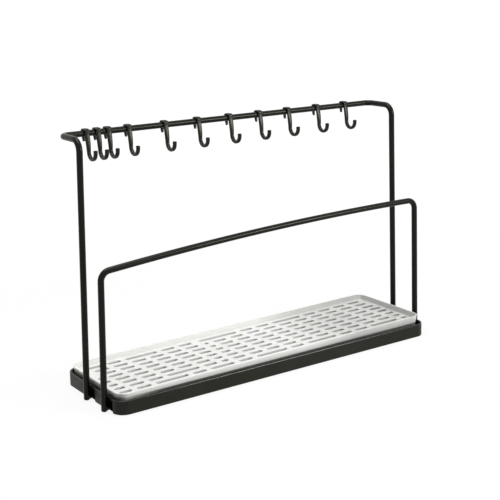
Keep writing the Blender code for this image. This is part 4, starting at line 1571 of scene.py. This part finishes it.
@dataclass
class HookRow:
    """Eleven clip-on hooks on the rear frame's rail, all of one mould."""

    rail_y: float = 0.0425
    rail_height: float = RAIL_HEIGHT
    rail_radius: float = 0.0030
    seat_gap: float = SEAT_GAP
    clip_wall: float = 0.0017
    clip_width: float = 0.0056
    clip_start: float = 0.4
    clip_power: float = 4.6
    clip_turns: Band = (0.96, 0.04)
    clip_steps: int = 25
    tab_drop: float = 0.0056
    tab_lip: float = 0.0007
    tab_taper: float = 0.46
    tab_share: float = 0.80
    tab_steps: int = 8
    stem_width: float = 0.0031
    stem_thickness: float = 0.0028
    stem_lean: float = 0.0020
    stem_top_width: float = 0.0054
    stem_waist_power: float = 1.9
    stem_part: Band = (0.05, 0.97)
    stem_steps: int = 12
    opening: float = 0.0119
    bend_steps: int = 25
    height_below_rail: float = 0.0262
    tip_height: float = 0.0115
    tip_start: float = 0.15
    tip_steps: int = 5
    fullness: float = 1.24
    tip_fullness: float = 1.30
    section_power: float = 3.4
    cap_places: tuple[float, ...] = (0.35, 0.70, 0.90)
    around: int = 28
    sharp_degrees: float = 50.0
    rail_length: float = 0.395952
    places: tuple[float, ...] = (-0.4332, -0.4016, -0.3715, -0.3132, -0.2049, -0.1030,
                                 -0.0014, 0.0971, 0.1961, 0.2996, 0.4014)
    finish: HookPlastic = field(default_factory=HookPlastic)

    def line(self) -> np.ndarray:
        """Centre line and sizes of a hook from its back tab, over the rail, to its tip.

        Columns are ahead, height, width and thickness. The tab runs straight with a small
        inward lip, the clip is a squared circle round the rail, the stem's lean follows a sine
        while its width shrinks by a power of its length, the bend is a half circle and the tip
        is straight.

        Returns:
            Array of stations by 4.
        """
        grip = self.rail_radius + self.seat_gap + self.clip_wall / 2
        top = -self.rail_radius * self.clip_start
        end = -self.rail_radius - self.tab_drop
        wide, thick = self.stem_width * self.fullness, self.stem_thickness * self.fullness
        down = np.linspace(0.0, 1.0, self.tab_steps)
        tab = (-grip + self.tab_lip * (1 - down) ** 2, end + (top - end) * down,
               self.clip_width * (self.tab_taper + (self.tab_share - self.tab_taper) * down),
               self.clip_wall)
        turns = np.linspace(math.pi * self.clip_turns[0], math.pi * self.clip_turns[1],
                            self.clip_steps)
        across, above = squared_circle(turns, self.clip_power)
        clip = (grip * across, grip * above, self.clip_width, self.clip_wall)
        bend = (self.opening + self.stem_thickness) / 2
        bend_height = -self.height_below_rail + self.stem_thickness / 2 + bend
        along = np.linspace(*self.stem_part, self.stem_steps)
        stem = (grip + self.stem_lean * np.sin(along * math.pi / 2),
                top + (bend_height - top) * along,
                self.stem_top_width + (wide - self.stem_top_width)
                * along ** self.stem_waist_power,
                self.clip_wall + (thick - self.clip_wall) * np.sqrt(along))
        stem_ahead = grip + self.stem_lean
        turn = np.linspace(math.pi, 2 * math.pi, self.bend_steps)
        arc = (stem_ahead + bend + bend * np.cos(turn), bend_height + bend * np.sin(turn),
               wide, thick)
        tip = -self.height_below_rail + self.tip_height
        rise = np.linspace(self.tip_start, 1.0, self.tip_steps)
        full = self.fullness + (self.tip_fullness - self.fullness) * rise
        last = (stem_ahead + 2 * bend, bend_height + (tip - bend_height) * rise,
                self.stem_width * full, self.stem_thickness * full)
        return np.vstack([np.stack(np.broadcast_arrays(*part), axis=-1)
                          for part in (tab, clip, stem, arc, last)])

    def rings(self) -> np.ndarray:
        """Rings of a hook about the rail's axis.

        Each section is a superellipse of the station's width and thickness, square to the
        centre line: point = centre + x * width / 2 * a + outward * thickness / 2 * b. Both
        ends are closed by sections that shrink as a circle does, r = sqrt(1 - u^2).

        Returns:
            Array of rings by points by 3.
        """
        line = self.line()
        way = np.gradient(line[:, :2], axis=0)
        way /= np.linalg.norm(way, axis=1)[:, None]
        outward = np.stack((-way[:, 1], way[:, 0]), axis=-1)
        across, lift = squared_circle(whole_turn(self.around), self.section_power)
        cap = np.array(self.cap_places)
        more = len(cap)
        shrink = np.sqrt(1 - cap ** 2)
        size = np.concatenate((shrink[::-1], np.ones(len(line)), shrink))
        start = way[0] * self.clip_wall / 2
        stop = way[-1] * self.stem_thickness / 2
        centre = np.pad(line[:, :2], ((more, more), (0, 0)), mode="edge")
        centre[:more + 1] += start
        centre[:more] -= way[0] * (cap[::-1, None] * self.clip_wall / 2)
        centre[-more - 1:] -= stop
        centre[-more:] += way[-1] * (cap[:, None] * self.stem_thickness / 2)
        normal = np.pad(outward, ((more, more), (0, 0)), mode="edge")
        wide, thick = (np.pad(line[:, column], more, mode="edge")[:, None] * size[:, None] / 2
                       for column in (2, 3))
        ahead = centre[:, :1] + normal[:, :1] * thick * lift
        height = centre[:, 1:] + normal[:, 1:] * thick * lift
        return np.stack((wide * across, -ahead, height), axis=-1)

    def make(self) -> list[bpy.types.Object]:
        """Build and dress every hook at its place on the rail.

        Returns:
            The hooks, from left to right.
        """
        finish = self.finish.material()
        rings = self.rings()
        pieces = []
        for number, share in enumerate(self.places, start=1):
            node = f"hook_{number:02d}"
            place = np.array((share * self.rail_length, self.rail_y, self.rail_height))
            piece = new_object(f"{node}_moulding", shell_mesh(f"{node}_moulding", rings + place))
            smooth_by_angle(piece, self.sharp_degrees)
            pieces.append(place_piece(piece, finish, f"{node}_body", node))
        return pieces


@dataclass
class RubberFeet:
    """The four rubber feet, whose CAD nodes stay as they are."""

    nodes: tuple[str, ...] = ("rubber_foot_rear_left", "rubber_foot_rear_right",
                              "rubber_foot_front_left", "rubber_foot_front_right")
    finish: FootRubber = field(default_factory=FootRubber)

    def make(self) -> list[bpy.types.Object]:
        """Give the feet their rubber.

        Returns:
            The four CAD nodes.
        """
        rubber = self.finish.material()
        pieces = [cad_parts[name] for name in self.nodes]
        for piece in pieces:
            piece.data.materials.clear()
            piece.data.materials.append(rubber)
        return pieces


# ------------------------------------------------------------------------------ camera and studio


@dataclass(frozen=True)
class PhotoCamera:
    """Camera at the photograph's viewpoint, fitted to the rack's straight edges."""

    name: str = "photo_camera"
    heading: float = 0.60167
    pitch: float = 0.19814
    roll: float = -0.01861
    place: Point = (-0.65942, -0.95342, 0.41982)
    focal_pixels: float = 1114.58
    principal_point: tuple[float, float] = (248.88, 190.01)
    nearest: float = 0.01

    def build(self) -> bpy.types.Object:
        """Set up the camera.

        Its right, up and back vectors come from heading and pitch and are turned by the roll:
        right' = right cos r + up sin r, up' = up cos r - right sin r.

        Returns:
            The camera.
        """
        ahead = Vector((math.sin(self.heading), math.cos(self.heading), 0.0))
        right = Vector((math.cos(self.heading), -math.sin(self.heading), 0.0))
        upright = Vector((0.0, 0.0, 1.0))
        forward = ahead * math.cos(self.pitch) - upright * math.sin(self.pitch)
        up = ahead * math.sin(self.pitch) + upright * math.cos(self.pitch)
        turned_right = right * math.cos(self.roll) + up * math.sin(self.roll)
        turned_up = up * math.cos(self.roll) - right * math.sin(self.roll)
        middle = PICTURE_PIXELS / 2
        lens = bpy.data.cameras.new(self.name)
        lens.sensor_width = SENSOR_WIDTH
        lens.lens = self.focal_pixels / PICTURE_PIXELS * SENSOR_WIDTH
        lens.shift_x = (middle - self.principal_point[0]) / PICTURE_PIXELS
        lens.shift_y = (self.principal_point[1] - middle) / PICTURE_PIXELS
        lens.clip_start = self.nearest
        camera = new_object(self.name, lens)
        columns = (turned_right, turned_up, -forward)
        turn = Matrix([[column[row] for column in columns] for row in range(3)])
        camera.matrix_world = Matrix.Translation(Vector(self.place)) @ turn.to_4x4()
        bpy.context.scene.camera = camera
        return camera


@dataclass(frozen=True)
class SoftLamp:
    """Square lamp that looks at the rack."""

    name: str
    place: Point
    size: float
    watts: float
    target: Point = (0.0, 0.0, 0.06)

    def build(self) -> bpy.types.Object:
        """Hang the lamp and point it at its target.

        Returns:
            The lamp.
        """
        light = bpy.data.lights.new(self.name, "AREA")
        light.shape = "SQUARE"
        light.size = self.size
        light.energy = self.watts
        lamp = new_object(self.name, light)
        lamp.location = self.place
        aim = Vector(self.target) - Vector(self.place)
        lamp.rotation_euler = aim.to_track_quat("-Z", "Y").to_euler()
        return lamp


@dataclass
class Studio:
    """White sweep: a pale floor, a pale world and a few soft lamps."""

    floor_half: float = 4.0
    floor_colour: Colour = (0.80, 0.80, 0.80)
    floor_glow: float = 0.84
    glow_strength: float = 1.04
    clear_band: Band = (0.35, 0.80)
    world_strength: float = 0.22
    lamps: tuple[SoftLamp, ...] = (
        SoftLamp("front_lamp", (1.00, -1.45, 0.72), 0.50, 17.5),
        SoftLamp("top_lamp", (-0.10, 0.00, 1.60), 1.20, 20.0),
    )

    def floor(self) -> bpy.types.Object:
        """Lay the floor: what a camera or a gloss sees of it is mostly plain white.

        Away from the rack, over the clear band of distances sqrt(x^2 + y^2), it gets wholly
        white, so that it meets the world without a line.

        Returns:
            The floor.
        """
        corners = np.array(((-1, -1, 0), (1, -1, 0), (1, 1, 0), (-1, 1, 0))) * self.floor_half
        mesh = bpy.data.meshes.new("studio_floor")
        mesh.from_pydata(corners.tolist(), [], [(0, 1, 2, 3)])
        piece = new_object("studio_floor", mesh)
        graph = Graph(bpy.data.materials.new("studio_floor"))
        seen = graph.rays("Camera", "Glossy", "Transmission")
        along, across, _ = graph.axes()
        square = along * along + across * across
        far = square.maths("SQRT", square, 0.0)
        clear = far.smooth_step(*self.clear_band) * (1.0 - self.floor_glow)
        paper = graph.node("ShaderNodeBsdfDiffuse", None, {"Color": (*self.floor_colour, 1.0)})
        glow = graph.node("ShaderNodeEmission", None,
                          {"Color": WHITE, "Strength": self.glow_strength})
        graph.close(graph.blended(paper, glow, seen * (clear + self.floor_glow)))
        piece.data.materials.append(graph.owner)
        return piece

    def sky(self) -> None:
        """Set the world: plain white to the eye, and a soft even light on the rack."""
        graph = Graph(bpy.data.worlds.new("studio_sky"))
        light, white = (graph.node("ShaderNodeBackground", None,
                                   {"Color": WHITE, "Strength": strength})
                        for strength in (self.world_strength, 1.0))
        seen = graph.rays("Camera", "Glossy")
        bpy.context.scene.world = graph.close(graph.blended(light, white, seen))

    def build(self) -> None:
        """Lay the floor, set the world, hang the lamps and keep the plain colour transform."""
        self.floor()
        self.sky()
        for lamp in self.lamps:
            lamp.build()
        bpy.context.scene.view_settings.view_transform = "Standard"


def main() -> None:
    """Set up the camera and studio, build each sub-assembly and report its pieces."""
    logging.basicConfig(level=logging.INFO, format="%(name)s: %(message)s")
    PhotoCamera().build()
    Studio().build()
    for assembly in (BaseTray(), DrainerInsert(), RearFrame(), FrontGuard(), HookRow(),
                     RubberFeet()):
        for piece in assembly.make():
            LOG.info("%s: %s, %d faces", type(assembly).__name__, piece.name,
                     len(piece.data.polygons))


if __name__ == "__main__":
    main()
